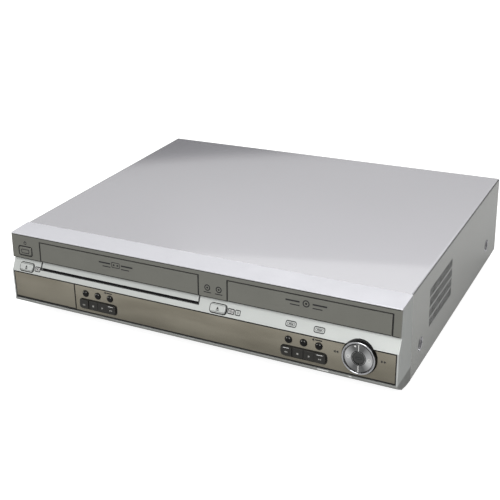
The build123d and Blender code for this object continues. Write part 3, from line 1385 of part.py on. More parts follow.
# ================================================================ rear panel and sockets
panel_front = PANEL_BACK - SHEET
jack_spots = [(x, z) for x in JACK_COLUMNS for z in JACK_ROWS]
with BuildPart() as rear_panel:
    block(
        -HALF + SHEET + SLIP,
        HALF - SHEET - SLIP,
        panel_front,
        PANEL_BACK,
        floor_top,
        HEIGHT - SHEET - COVER_CORNER,
    )
    for x, z in jack_spots:
        pin_y(x, panel_front, PANEL_BACK, z, JACK_R + JACK_HOLE_GAP, Mode.SUBTRACT)
    for z in RF_ROWS:
        pin_y(RF_X, panel_front, PANEL_BACK, z, RF_R + JACK_HOLE_GAP, Mode.SUBTRACT)
    for x in REAR_SCREWS:
        pin_y(x, panel_front, PANEL_BACK, rear_screw_z, SCREW_R + SLIP, Mode.SUBTRACT)
    inlet_half = INLET_SIZE[0] / 2 + SLIP
    inlet_rise = INLET_SIZE[1] / 2 + SLIP
    block(
        INLET_X - inlet_half,
        INLET_X + inlet_half,
        panel_front,
        PANEL_BACK,
        INLET_Z - inlet_rise,
        INLET_Z + inlet_rise,
        Mode.SUBTRACT,
    )
    for x in spread(REAR_SLOT_X, REAR_SLOT_PITCH, REAR_SLOTS):
        slot_xs = (x - REAR_SLOT_HALF, x + REAR_SLOT_HALF)
        block(*slot_xs, panel_front, PANEL_BACK, *REAR_SLOT_SPAN, Mode.SUBTRACT)
save(rear_panel, "rear_panel")

board_top = BOARD_Z + BOARD_THICK
block_half, block_long, block_rise = JACK_BLOCK
block_top = JACK_ROWS[-1] + block_rise
with BuildPart() as rear_av_jacks:
    for x in JACK_COLUMNS:
        column = (x - block_half, x + block_half)
        block(*column, panel_front - block_long, panel_front, board_top, block_top)
    for x, z in jack_spots:
        pin_y(x, panel_front, BODY_DEPTH + REAR_JACK_REACH, z, JACK_R)
        pin_y(x, panel_front, BODY_DEPTH + REAR_JACK_REACH, z, JACK_BORE_R, Mode.SUBTRACT)
save(rear_av_jacks, "rear_av_jacks")

can_half, can_long, can_rise = RF_CAN
can_top = RF_ROWS[-1] + can_rise
with BuildPart() as rf_connectors:
    block(RF_X - can_half, RF_X + can_half, panel_front - can_long, panel_front, board_top, can_top)
    for z in RF_ROWS:
        pin_y(RF_X, panel_front, BODY_DEPTH + RF_REACH, z, RF_R)
        pin_y(RF_X, BODY_DEPTH, BODY_DEPTH + RF_REACH, z, RF_BORE_R, Mode.SUBTRACT)
save(rf_connectors, "rf_connectors")

inlet_wide = INLET_SIZE[0] / 2
inlet_high = INLET_SIZE[1] / 2
inlet_front = panel_front - INLET_LENGTH
inlet_back = BODY_DEPTH + INLET_PROUD
slot_front = inlet_back - INLET_SLOT_DEEP
leg_half, leg_gap = INLET_LEG
with BuildPart() as mains_inlet:
    block(
        INLET_X - inlet_wide,
        INLET_X + inlet_wide,
        inlet_front,
        inlet_back,
        INLET_Z - inlet_high,
        INLET_Z + inlet_high,
    )
    leg_xs = (INLET_X - leg_half, INLET_X + leg_half)
    block(*leg_xs, inlet_front, panel_front - leg_gap, board_top, INLET_Z)
    with BuildSketch(Plane.XZ.offset(-(FRONT + slot_front))):
        with Locations((INLET_X, INLET_Z)):
            SlotOverall(*INLET_SLOT)
    extrude(amount=-INLET_SLOT_DEEP, mode=Mode.SUBTRACT)
    pin_span = (slot_front - INLET_PIN_ROOT, BODY_DEPTH - INLET_PIN_SUNK)
    for side in (-1, 1):
        pin_y(INLET_X + side * INLET_PIN_SPACING / 2, *pin_span, INLET_Z, INLET_PIN_R)
save(mains_inlet, "mains_inlet")

# ================================================================ boards and display
processor = (70.0, 228.0, 28.0, 28.0, CHIP_TALL)
memory = (112.0, 232.0, 20.0, 20.0, CHIP_TALL)
amplifier = (112.0, 262.0, 18.0, 12.0, CHIP_TALL)
regulator = (150.0, 272.0, 14.0, 10.0, CHIP_TALL)
ribbon_socket = (56.0, 268.0, 12.0, 24.0, 2 * CHIP_TALL)
tuner_can = (150.0, 225.0, 20.0, 20.0, 6 * CHIP_TALL)
with BuildPart() as main_board:
    block(*MAIN_BOARD, BOARD_Z, board_top)
    for spot in (processor, memory, amplifier, regulator, ribbon_socket, tuner_can):
        stand(spot, board_top)
    for x in spread(CAP_START[0], CAP_PITCH, CAPS):
        post(x, CAP_START[1], board_top, board_top + CAP_TALL, CAP_R)
save(main_board, "main_board")

with BuildPart() as power_board:
    block(*POWER_BOARD, BOARD_Z, board_top)
    for spot in (TRANSFORMER, HEAT_SINK, FILTER):
        stand(spot, board_top)
    post(*MAINS_CAP, board_top, board_top + MAINS_CAP_TALL, MAINS_CAP_R)
    for depth in OUT_CAP_DEPTHS:
        post(OUT_CAP_X, depth, board_top, board_top + OUT_CAP_TALL, OUT_CAP_R)
save(power_board, "power_board")

board_back = FRONT_BOARD_DEPTH + BOARD_THICK
switch_span = (STEM_END + SWITCH_GAP, FRONT_BOARD_DEPTH)
with BuildPart() as front_board:
    x0, x1, z0, z1 = FRONT_BOARD
    block(x0, x1, FRONT_BOARD_DEPTH, board_back, z0, z1)
    for side in ("left", "right"):
        key_xs = spread(BAR_XS[side] - 1.5 * key_pitch, key_pitch, 4)
        switches = [(x, ROUND_HEIGHT) for x in ROUND_XS[side]]
        switches += [(x, BAR_Z - SWITCH_DROP) for x in key_xs]
        for x, z in switches:
            switch_xs = (x - SWITCH_HALF, x + SWITCH_HALF)
            block(*switch_xs, *switch_span, z - SWITCH_HALF, z + SWITCH_HALF)
save(front_board, "front_board")

frame_x, frame_z = DISPLAY_FRAME
with BuildPart() as display_module:
    x0, x1, z0, z1 = DISPLAY
    block(x0, x1, DISPLAY_BACKING, FRONT_BOARD_DEPTH, z0, z1)
    glass = (x0 + frame_x, x1 - frame_x, DISPLAY_GLASS, DISPLAY_BACKING, z0 + frame_z, z1 - frame_z)
    block(*glass)
save(display_module, "display_module")

# ================================================================ tape deck
deck_top_z = DECK_Z + DECK_THICK
arm_top = PINCH_FOOT + PINCH_THICK
bearing_top = deck_top_z + CAPSTAN_BEARING
arm_boss_top = PINCH_FOOT + PINCH_BOSS_TALL
holder_half = HOLDER_INNER / 2
holder_outer = holder_half + HOLDER_WALL
sled_inner = holder_outer + SLED_GAP
sled_outer = sled_inner + SLED_THICK
bracket_inner = sled_outer + SLED_GAP
bracket_outer = bracket_inner + BRACKET_THICK
reel_xs = {"supply": CASSETTE_X - REEL_SPACING / 2, "takeup": CASSETTE_X + REEL_SPACING / 2}


def side_span(side, near, far):
    """Ordered X pair for one side of the cassette compartment."""
    ends = (CASSETTE_X + side * near, CASSETTE_X + side * far)
    return min(ends), max(ends)


bracket_frame = 12.0
bracket_window = (
    BRACKET_FRONT + bracket_frame,
    BRACKET_REAR - bracket_frame,
    DECK_Z + bracket_frame,
    SLED_PIN_Z - bracket_frame,
)
with BuildPart() as deck_plate:
    block(DECK_LEFT, DECK_RIGHT, DECK_FRONT, DECK_REAR, DECK_Z, deck_top_z)
    for side in (-1, 1):
        span = side_span(side, bracket_inner, bracket_outer)
        block(*span, BRACKET_FRONT, BRACKET_REAR, DECK_Z, BRACKET_TOP)
        for depth in SLED_PINS:
            with BuildSketch(Plane.YZ.offset(span[0])):
                with Locations((FRONT + depth + SLED_TRAVEL / 2, SLED_PIN_Z)):
                    SlotCenterToCenter(SLED_TRAVEL, 2 * (GUIDE_PIN_R + RUNNING_FIT))
            extrude(amount=BRACKET_THICK, mode=Mode.SUBTRACT)
        block(*span, *bracket_window, Mode.SUBTRACT)
    for x in reel_xs.values():
        post(x, REEL_DEPTH, DECK_Z, REEL_TOP - 2 * SHEET, GUIDE_PIN_R)
    post(*CAPSTAN_AT, DECK_Z, bearing_top, CAPSTAN_BEARING_R)
    post(*CAPSTAN_AT, DECK_Z, bearing_top, CAPSTAN_R + RUNNING_FIT, Mode.SUBTRACT)
    post(*PINCH_PIVOT, DECK_Z, arm_boss_top + SHEET, GUIDE_PIN_R)
    post(*PINCH_PIVOT, DECK_Z, PINCH_FOOT - MOVING_GAP, PINCH_REST_R)
save(deck_plate, "deck_plate")

with BuildPart() as cassette_sled:
    for side in (-1, 1):
        span = side_span(side, sled_inner, sled_outer)
        block(*span, SLED_FRONT, SLED_REAR, SLED_FOOT, SLED_TOP)
        for depth in HOLDER_PINS:
            with BuildSketch(Plane.YZ.offset(span[0])):
                with Locations((FRONT + depth, HOLDER_PIN_Z - HOLDER_DROP / 2)):
                    SlotCenterToCenter(HOLDER_DROP, 2 * (GUIDE_PIN_R + RUNNING_FIT), rotation=90)
            extrude(amount=SLED_THICK, mode=Mode.SUBTRACT)
        for depth in SLED_PINS:
            pins = side_span(side, sled_inner, bracket_outer)
            pin_x(*pins, depth, SLED_PIN_Z, GUIDE_PIN_R)
    bar = (CASSETTE_X - sled_outer, CASSETTE_X + sled_outer)
    block(*bar, *SLED_BAR_SPAN, SLED_TOP - SLED_BAR, SLED_TOP)
save(cassette_sled, "cassette_sled")

with BuildPart() as cassette_holder:
    x0, x1 = CASSETTE_X - holder_outer, CASSETTE_X + holder_outer
    block(x0, x1, HOLDER_FRONT, HOLDER_REAR, MOUTH_FLOOR - HOLDER_WALL, HOLDER_TOP + HOLDER_WALL)
    block(
        x0 + HOLDER_WALL,
        x1 - HOLDER_WALL,
        HOLDER_FRONT,
        HOLDER_REAR,
        MOUTH_FLOOR,
        HOLDER_TOP,
        Mode.SUBTRACT,
    )
    ledge = HOLDER_WALL + HOLDER_LEDGE
    floor_span = (MOUTH_FLOOR - HOLDER_WALL, MOUTH_FLOOR)
    block(x0 + ledge, x1 - ledge, HOLDER_FRONT, HOLDER_REAR, *floor_span, Mode.SUBTRACT)
    for side in (-1, 1):
        x_hole = CASSETTE_X + side * REEL_SPACING / 2
        hole_xs = (x_hole - HOLDER_HOLE_HALF, x_hole + HOLDER_HOLE_HALF)
        roof_span = (HOLDER_TOP, HOLDER_TOP + HOLDER_WALL)
        block(*hole_xs, *HOLDER_HOLE_SPAN, *roof_span, Mode.SUBTRACT)
    for side in (-1, 1):
        pins = side_span(side, holder_half, sled_outer)
        for depth in HOLDER_PINS:
            pin_x(*pins, depth, HOLDER_PIN_Z, GUIDE_PIN_R)
save(cassette_holder, "cassette_holder")

reel_foot = deck_top_z + MOVING_GAP
spline_foot = reel_foot + REEL_FLANGE[1]
spline_turn = 360.0 / REEL_SPLINES
for name, x in reel_xs.items():
    with BuildPart() as reel:
        post(x, REEL_DEPTH, reel_foot, REEL_TOP, REEL_HUB_R)
        flange = [reel_foot + rise for rise in REEL_FLANGE]
        post(x, REEL_DEPTH, *flange, REEL_TABLE_R)
        for angle in spread(0.0, spline_turn, REEL_SPLINES):
            turn = math.radians(angle)
            at = (
                x + REEL_HUB_R * math.cos(turn),
                FRONT + REEL_DEPTH + REEL_HUB_R * math.sin(turn),
                (spline_foot + REEL_TOP) / 2,
            )
            with Locations(Location(at, (0, 0, angle))):
                Box(*SPLINE_SIZE, REEL_TOP - spline_foot)
        post(x, REEL_DEPTH, reel_foot, REEL_TOP, GUIDE_PIN_R + RUNNING_FIT, Mode.SUBTRACT)
    save(reel, f"{name}_reel")

tilt = math.radians(DRUM_TILT)
drum_plane = Plane(
    origin=(CASSETTE_X, FRONT + DRUM_DEPTH, deck_top_z),
    x_dir=(math.cos(tilt), 0, -math.sin(tilt)),
    z_dir=(math.sin(tilt), 0, math.cos(tilt)),
)
drum_room = DRUM_R + 9
with BuildPart() as drum_lower:
    with BuildSketch(drum_plane.offset(-DRUM_SINK)):
        Circle(DRUM_R)
    extrude(amount=DRUM_SPLIT + DRUM_SINK)
    with BuildSketch(drum_plane.offset(-DRUM_SINK)):
        Circle(DRUM_SHAFT_R + RUNNING_FIT)
    extrude(amount=DRUM_SPLIT + DRUM_SINK, mode=Mode.SUBTRACT)
    block(
        CASSETTE_X - drum_room,
        CASSETTE_X + drum_room,
        DRUM_DEPTH - drum_room,
        DRUM_DEPTH + drum_room,
        0,
        deck_top_z,
        Mode.SUBTRACT,
    )
save(drum_lower, "drum_lower")

with BuildPart() as drum_upper:
    with BuildSketch(drum_plane.offset(DRUM_SPLIT + MOVING_GAP)):
        Circle(DRUM_R)
    extrude(amount=DRUM_TOP - DRUM_SPLIT - MOVING_GAP)
    with BuildSketch(drum_plane.offset(DRUM_TOP - DRUM_DISH)):
        Circle(DRUM_R - DRUM_RIM)
        Circle(DRUM_HUB_R, mode=Mode.SUBTRACT)
    extrude(amount=DRUM_DISH, mode=Mode.SUBTRACT)
    with BuildSketch(drum_plane.offset(DRUM_SHAFT_FOOT)):
        Circle(DRUM_SHAFT_R)
    extrude(amount=DRUM_TOP - DRUM_SHAFT_FOOT)
save(drum_upper, "drum_upper")

flywheel_foot = floor_top + FLYWHEEL_GAP
with BuildPart() as capstan:
    post(*CAPSTAN_AT, flywheel_foot, CAPSTAN_TOP, CAPSTAN_R)
    post(*CAPSTAN_AT, flywheel_foot, flywheel_foot + FLYWHEEL_THICK, FLYWHEEL_R)
save(capstan, "capstan")

pinch_turn = math.radians(PINCH_ANGLE)
roller_at = (
    PINCH_PIVOT[0] + PINCH_ARM * math.cos(pinch_turn),
    PINCH_PIVOT[1] + PINCH_ARM * math.sin(pinch_turn),
)
arm_mid = (
    (PINCH_PIVOT[0] + roller_at[0]) / 2,
    FRONT + (PINCH_PIVOT[1] + roller_at[1]) / 2,
    0,
)
with BuildPart() as pinch_arm:
    post(*PINCH_PIVOT, PINCH_FOOT, arm_boss_top, PINCH_BOSS_R)
    post(*roller_at, PINCH_FOOT, arm_top, PINCH_BOSS_R)
    post(*roller_at, arm_top, arm_top + PINCH_ROLLER_TALL, PINCH_ROLLER_R)
    with BuildSketch(Plane.XY.offset(PINCH_FOOT)):
        with Locations(Location(arm_mid, (0, 0, PINCH_ANGLE))):
            Rectangle(PINCH_ARM - 2 * PINCH_REST_R, 2 * PINCH_REST_R)
    extrude(amount=PINCH_THICK)
    post(*PINCH_PIVOT, PINCH_FOOT, arm_boss_top, GUIDE_PIN_R + RUNNING_FIT, Mode.SUBTRACT)
save(pinch_arm, "pinch_arm")
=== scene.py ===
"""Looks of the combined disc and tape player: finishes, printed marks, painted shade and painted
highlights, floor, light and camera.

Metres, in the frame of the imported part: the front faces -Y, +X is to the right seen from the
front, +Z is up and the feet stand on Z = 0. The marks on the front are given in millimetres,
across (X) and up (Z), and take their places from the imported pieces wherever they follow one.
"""

import json
import math

import bmesh
import bpy
from mathutils import Matrix, Vector
from mathutils.bvhtree import BVHTree


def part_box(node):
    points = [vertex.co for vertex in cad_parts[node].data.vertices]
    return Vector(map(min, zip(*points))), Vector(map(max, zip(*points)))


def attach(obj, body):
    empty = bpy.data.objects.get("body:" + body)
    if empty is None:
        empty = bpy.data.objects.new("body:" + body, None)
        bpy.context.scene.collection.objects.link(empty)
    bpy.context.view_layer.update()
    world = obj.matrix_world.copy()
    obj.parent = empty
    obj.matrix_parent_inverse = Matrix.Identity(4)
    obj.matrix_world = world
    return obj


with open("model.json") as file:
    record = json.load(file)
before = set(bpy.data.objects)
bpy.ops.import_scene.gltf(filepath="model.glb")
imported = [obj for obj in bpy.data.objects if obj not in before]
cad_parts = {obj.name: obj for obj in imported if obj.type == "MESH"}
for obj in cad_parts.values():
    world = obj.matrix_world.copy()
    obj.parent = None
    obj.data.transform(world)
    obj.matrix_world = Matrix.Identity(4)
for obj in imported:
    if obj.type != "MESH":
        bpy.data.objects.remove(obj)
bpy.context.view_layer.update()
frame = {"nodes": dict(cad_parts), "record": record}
nodes = frame["nodes"]
MM = 0.001
MAP_ENDS = ("From Min", "From Max", "To Min", "To Max")


# ================================================================ places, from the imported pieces
def side_view(node):
    """Left, right, foot and top of a piece seen from the front, in millimetres."""
    low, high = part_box(node)
    return low.x / MM, high.x / MM, low.z / MM, high.z / MM


def middle_of(node):
    """Middle of a piece from left to right, in millimetres."""
    left, right, _, _ = side_view(node)
    return (left + right) / 2


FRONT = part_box("upper_fascia")[0].y

# the vented part of the sides, the pitch of its rows, the height of a slot, and a soft border
VENT_SPAN = (FRONT + 0.0806, FRONT + 0.1516)
VENT_RISE = (0.0350, 0.0762)
VENT_ROW = 0.0106
VENT_SLOT = 0.0092
VENT_EDGE = 0.0004

# middle and axis of the tilted keypad, and middle of the head drum
DIAL_X = middle_of("dial_housing")
DIAL_UP = 42.6
DIAL_PROUD = 0.0078
DIAL_CENTRE = (DIAL_X * MM, FRONT - DIAL_PROUD, DIAL_UP * MM)
DIAL_AXIS = (0, -0.9975, -0.0703)
DRUM_CENTRE = (middle_of("cassette_door") * MM, FRONT + 0.212, 0.04)

# heights at which the look of a piece changes; below the chin the silver is painted darker, as shade
TOP_EDGE = (0.0930, 0.0936)
CHIN_SHADE = (0.0208, 0.0232)
WINDOW_RISE = (0.023, 0.053)
BOARD_FACE = (0.01565, 0.01575)

# where one coloured jack ends and the next begins
FRONT_JACK_BORDERS = (("X", -0.1821), ("X", -0.1641))
REAR_JACK_BORDERS = (("Z", 0.042), ("Z", 0.058))
JACK_BLEND = 0.0001


# ================================================================ material building
def linear(red, green, blue):
    """Colour of a display value from 0 to 255, as light."""
    out = []
    for value in (red, green, blue):
        part = value / 255
        out.append(part / 12.92 if part <= 0.04045 else ((part + 0.055) / 1.055) ** 2.4)
    return (*out, 1.0)


def toned(colour, share):
    """The same colour, darker or lighter by a share."""
    return (*(min(1.0, part * share) for part in colour[:3]), 1.0)


def new_node(tree, kind, **props):
    node = tree.nodes.new(kind)
    for key, value in props.items():
        setattr(node, key, value)
    return node


def set_ends(node, ends):
    """The ends of a map range: from low and high, to low and high."""
    for socket, number in zip(MAP_ENDS, ends):
        node.inputs[socket].default_value = number


class Finish:
    """One material: its shader and short ways to add the nodes that feed it."""

    def __init__(self, name, rough, metal=0.0, **sockets):
        self.material = bpy.data.materials.new(name)
        self.material.use_nodes = True
        self.tree = self.material.node_tree
        self.shader = self.tree.nodes["Principled BSDF"]
        self.shader.inputs["Roughness"].default_value = rough
        self.shader.inputs["Metallic"].default_value = metal
        for socket, value in sockets.items():
            self.shader.inputs[socket.replace("_", " ")].default_value = value
        self.place = self.add("ShaderNodeTexCoord").outputs["Object"]
        self.normal = None

    def add(self, kind, **props):
        return new_node(self.tree, kind, **props)

    def put(self, socket, value):
        """Links a socket, or sets it where the value is a plain one."""
        if isinstance(value, bpy.types.NodeSocket):
            self.tree.links.new(value, socket)
        else:
            socket.default_value = value

    def stretched(self, scale, centre=(0, 0, 0)):
        """Object coordinates about a centre, scaled on each axis."""
        node = self.add("ShaderNodeMapping")
        self.put(node.inputs["Vector"], self.place)
        node.inputs["Scale"].default_value = scale
        node.inputs["Location"].default_value = [-c * s for c, s in zip(centre, scale)]
        return node.outputs[0]

    def noise(self, scale, detail=2.0, vector=None):
        node = self.add("ShaderNodeTexNoise")
        self.put(node.inputs["Vector"], self.place if vector is None else vector)
        node.inputs["Scale"].default_value = scale
        node.inputs["Detail"].default_value = detail
        return node.outputs["Fac"]

    def cells(self, scale, feature="F1", output="Distance"):
        node = self.add("ShaderNodeTexVoronoi", feature=feature)
        self.put(node.inputs["Vector"], self.place)
        node.inputs["Scale"].default_value = scale
        return node.outputs[output]

    def rings(self, scale, vector):
        node = self.add("ShaderNodeTexWave", wave_type="RINGS", rings_direction="SPHERICAL")
        self.put(node.inputs["Vector"], vector)
        node.inputs["Scale"].default_value = scale
        return node.outputs["Fac"]

    def span(self, value, low, high, to_low=0.0, to_high=1.0):
        """A value between two ends, laid out between two others and held there."""
        node = self.add("ShaderNodeMapRange")
        self.put(node.inputs["Value"], value)
        set_ends(node, (low, high, to_low, to_high))
        return node.outputs[0]

    def math(self, operation, first, second=0.0):
        node = self.add("ShaderNodeMath", operation=operation)
        self.put(node.inputs[0], first)
        self.put(node.inputs[1], second)
        return node.outputs[0]

    def both(self, *values):
        """Product of masks."""
        product = values[0]
        for value in values[1:]:
            product = self.math("MULTIPLY", product, value)
        return product

    def axis(self, letter, vector=None):
        node = self.add("ShaderNodeSeparateXYZ")
        self.put(node.inputs[0], self.place if vector is None else vector)
        return node.outputs[letter]

    def mix(self, factor, first, second):
        node = self.add("ShaderNodeMix", data_type="RGBA")
        self.put(node.inputs["Factor"], factor)
        self.put(node.inputs[6], first)
        self.put(node.inputs[7], second)
        return node.outputs[2]

    def edges(self, width):
        """1 on edges that turn within a width, 0 on flat ground."""
        bevel = self.add("ShaderNodeBevel", samples=4)
        bevel.inputs["Radius"].default_value = width
        ground = self.add("ShaderNodeNewGeometry").outputs["Normal"]
        product = self.add("ShaderNodeVectorMath", operation="DOT_PRODUCT")
        self.put(product.inputs[0], bevel.outputs[0])
        self.put(product.inputs[1], ground)
        return self.span(product.outputs["Value"], 0.99, 0.82)

    def rubbed(self, width, grain, low, high):
        """Edges that are worn in patches."""
        return self.both(self.edges(width), self.span(grain, low, high))

    def bump(self, height, distance, strength):
        node = self.add("ShaderNodeBump")
        node.inputs["Distance"].default_value = distance
        node.inputs["Strength"].default_value = strength
        self.put(node.inputs["Height"], height)
        self.normal = node.outputs[0]

    def done(self, colour, rough, metal=None):
        self.put(self.shader.inputs["Base Color"], colour)
        self.put(self.shader.inputs["Roughness"], rough)
        self.put(self.shader.inputs["Normal"], self.normal)
        if metal is not None:
            self.put(self.shader.inputs["Metallic"], metal)
        return self.material


FINE_GRAIN = 5200.0
# where most of one noise lies, and most of two noises added up
MOST = (0.3, 0.7)
SUM = (0.7, 1.3)
SUM_WIDE = (0.6, 1.4)


def moulded(
    name, colour, worn, rough, metal=0.0, grain=2600.0, depth=0.00002, spread=0.05, tones=(), **sockets
):
    """Moulded plastic: fine grain, faint flow clouds, rubbed edges and an uneven sheen.

    Each of the tones is a low and a high height and the colour below them.
    """
    finish = Finish(name, rough, metal, **sockets)
    fine = finish.noise(grain, detail=3.0)
    cloud = finish.noise(28.0, detail=3.0)
    shade = finish.span(finish.math("ADD", fine, cloud), *SUM_WIDE)
    ground = finish.mix(shade, toned(colour, 1 - spread), toned(colour, 1 + spread))
    for low, high, tone in tones:
        ground = finish.mix(finish.span(finish.axis("Z"), low, high), tone, ground)
    rub = finish.rubbed(0.0005, finish.noise(160.0, detail=4.0), 0.35, 0.65)
    finish.bump(fine, depth, strength=0.6)
    sheen = finish.span(finish.noise(60.0, detail=4.0), *MOST, rough - 0.05, rough + 0.06)
    return finish.done(finish.mix(rub, ground, worn), sheen)


def metal_sheet(name, colour, rough, grain, depth, spangle=0.0):
    """Bare or plated metal: drawn grain, dull patches and bright worn edges."""
    finish = Finish(name, rough, metal=1.0)
    drawn = finish.noise(1.0, detail=4.0, vector=finish.stretched(grain))
    patch = finish.noise(22.0, detail=4.0)
    both = finish.math("ADD", drawn, patch)
    light = toned(colour, 1.08)
    ground = finish.mix(finish.span(both, *SUM), toned(colour, 0.86), light)
    if spangle:
        flake = finish.span(finish.cells(130.0, output="Color"), 0.0, 1.0, 0.0, spangle)
        ground = finish.mix(flake, ground, light)
    finish.bump(drawn, depth, strength=0.5)
    sheen = finish.span(both, *SUM_WIDE, rough - 0.07, rough + 0.08)
    return finish.done(finish.mix(finish.edges(0.0004), ground, toned(colour, 1.25)), sheen)


def cover_paint():
    """Satin metallic paint on steel: orange peel, haze, rubbed corners, the sides painted darker as
    shade, and painted shade in and about the vents.
    """
    metal = 0.6
    finish = Finish("cover_paint", 0.26, metal, Coat_Weight=1.0, Coat_Roughness=0.05, Coat_IOR=2.4)
    peel = finish.noise(1500.0, detail=3.0)
    flake = finish.noise(FINE_GRAIN, detail=1.0)
    cloud = finish.noise(5.0, detail=3.0)
    haze = finish.noise(9.0, detail=3.0)
    shade = finish.span(finish.math("ADD", flake, cloud), *SUM)
    above = finish.mix(shade, linear(174, 173, 179), linear(180, 179, 185))
    # painted shade: the sides take a darker, greener copy of the paint than the top
    beside = finish.mix(shade, linear(156, 158, 150), linear(161, 163, 155))
    facing = finish.add("ShaderNodeTexCoord").outputs["Normal"]
    across = finish.math("ABSOLUTE", finish.axis("X", facing))
    ground = finish.mix(finish.span(across, 0.6, 0.95), above, beside)
    # the vented part of the sides; the walls of its slots, painted near black as shade; and patchy
    # painted shade over each row of slots
    sides = []
    for letter, (low, high) in (("Y", VENT_SPAN), ("Z", VENT_RISE)):
        sides.append(finish.span(finish.axis(letter), low, low + VENT_EDGE))
        sides.append(finish.span(finish.axis(letter), high, high - VENT_EDGE))
    vented = finish.both(*sides)
    wall = finish.both(vented, finish.span(across, 0.75, 0.45))
    climb = finish.math("MODULO", finish.math("SUBTRACT", finish.axis("Z"), VENT_RISE[0]), VENT_ROW)
    row = finish.span(climb, VENT_SLOT, VENT_SLOT - VENT_EDGE)
    vent_row_shade = finish.both(vented, row, finish.span(cloud, *MOST, 0.5, 0.75))
    ground = finish.mix(vent_row_shade, ground, linear(78, 79, 75))
    rub = finish.rubbed(0.0012, finish.noise(90.0, detail=5.0), 0.25, 0.5)
    painted = finish.mix(rub, ground, linear(240, 240, 243))
    finish.bump(peel, 0.00001, strength=0.3)
    sheen = finish.span(finish.math("ADD", peel, haze), *SUM, 0.2, 0.27)
    whole = finish.math("SUBTRACT", 1.0, wall)
    finish.put(finish.shader.inputs["Coat Weight"], finish.math("SUBTRACT", whole, vent_row_shade))
    shiny = finish.math("MULTIPLY", finish.math("SUBTRACT", whole, rub), metal)
    # the slot walls are painted near black, as shade
    return finish.done(finish.mix(wall, painted, linear(22, 22, 21)), sheen, shiny)


def bronze_window():
    """Champagne mirror in clear plastic: a painted shade line round its edge, a painted reflection that
    makes it lighter towards the top, faint waves and wiping marks.
    """
    finish = Finish("bronze_plastic", 0.12, metal=0.8, Coat_Weight=0.5, Coat_Roughness=0.05)
    wave = finish.noise(14.0)
    wipe = finish.noise(1.0, detail=4.0, vector=finish.stretched((60, 400, 900)))
    streak = finish.noise(1.0, detail=3.0, vector=finish.stretched((11, 11, 46)))
    drift = finish.span(streak, 0.35, 0.65)
    foot = finish.mix(drift, linear(118, 113, 99), linear(140, 135, 120))
    head = finish.mix(drift, linear(150, 144, 128), linear(170, 164, 148))
    # painted reflection: darker at the foot, lighter towards the top
    ground = finish.mix(finish.span(finish.axis("Z"), *WINDOW_RISE), foot, head)
    # painted shade along every edge of the panel
    edge_shaded = finish.mix(finish.edges(0.0007), ground, linear(60, 56, 50))
    finish.bump(wave, 0.00025, strength=0.35)
    return finish.done(edge_shaded, finish.span(wipe, *MOST, 0.07, 0.16))


def turned(name, colour, centre, axis, pitch, rough, depth, shaded):
    """Metal turned about an axis: fine rings that catch the light, and a painted bow-tie highlight,
    lighter left and right of the centre and darker by shaded above and below.
    """
    finish = Finish(name, rough, metal=1.0, Anisotropic=0.85)
    about = finish.stretched((1, 1, 1), centre)
    along = finish.add("ShaderNodeVectorMath", operation="CROSS_PRODUCT")
    finish.put(along.inputs[0], about)
    along.inputs[1].default_value = axis
    finish.put(finish.shader.inputs["Tangent"], along.outputs[0])
    groove = finish.rings(1 / pitch / math.tau, about)
    patch = finish.noise(90.0, detail=4.0)
    reach = finish.add("ShaderNodeVectorMath", operation="NORMALIZE")
    finish.put(reach.inputs[0], about)
    lean = finish.span(finish.math("ABSOLUTE", finish.axis("X", reach.outputs[0])), 0.45, 0.95)
    # painted highlight in a bow: lighter where the face lies left or right of the centre
    painted_bow = finish.math("ADD", lean, finish.span(patch, *MOST, -0.1, 0.1))
    ground = finish.mix(painted_bow, toned(colour, shaded), colour)
    finish.bump(groove, depth, strength=0.8)
    sheen = finish.span(patch, *MOST, rough - 0.04, rough + 0.06)
    return finish.done(finish.mix(finish.edges(0.0003), ground, toned(colour, 1.2)), sheen)


def circuit_board():
    """Green board with copper traces, and dark parts standing on it."""
    finish = Finish("board", 0.4)
    trace = finish.span(finish.cells(330.0, feature="DISTANCE_TO_EDGE"), 0.02, 0.05)
    leaf = finish.mix(trace, linear(58, 104, 66), linear(26, 70, 40))
    part_tone = finish.span(finish.cells(60.0, output="Color"), 0.0, 1.0)
    parts = finish.mix(part_tone, linear(28, 28, 30), linear(96, 98, 104))
    height = finish.span(finish.axis("Z"), *BOARD_FACE)
    finish.bump(finish.noise(900.0), 0.00003, strength=0.5)
    sheen = finish.span(finish.noise(120.0, detail=3.0), *MOST, 0.3, 0.5)
    return finish.done(finish.mix(height, leaf, parts), sheen)


def front_circuit():
    """Brown phenolic board with pale print."""
    finish = Finish("front_circuit", 0.5)
    fibre = finish.noise(1.0, detail=4.0, vector=finish.stretched((300, 300, 2200)))
    print_line = finish.span(finish.cells(260.0, feature="DISTANCE_TO_EDGE"), 0.015, 0.04)
    ground = finish.mix(fibre, linear(122, 86, 52), linear(150, 110, 70))
    finish.bump(fibre, 0.00003, strength=0.4)
    sheen = finish.span(fibre, *MOST, 0.4, 0.6)
    return finish.done(finish.mix(print_line, linear(196, 188, 160), ground), sheen)


def phono_plastic(name, borders, colours):
    """Moulded jack rings whose colour changes from jack to jack."""
    finish = Finish(name, 0.35)
    ground = colours[0]
    for (letter, border), colour in zip(borders, colours[1:]):
        beyond = finish.span(finish.axis(letter), border - JACK_BLEND, border + JACK_BLEND)
        ground = finish.mix(beyond, ground, colour)
    rub = finish.rubbed(0.0004, finish.noise(300.0, detail=3.0), 0.4, 0.7)
    finish.bump(finish.noise(1800.0, detail=3.0), 0.00002, strength=0.5)
    sheen = finish.span(finish.noise(90.0, detail=3.0), *MOST, 0.28, 0.42)
    return finish.done(finish.mix(rub, ground, linear(226, 224, 216)), sheen)


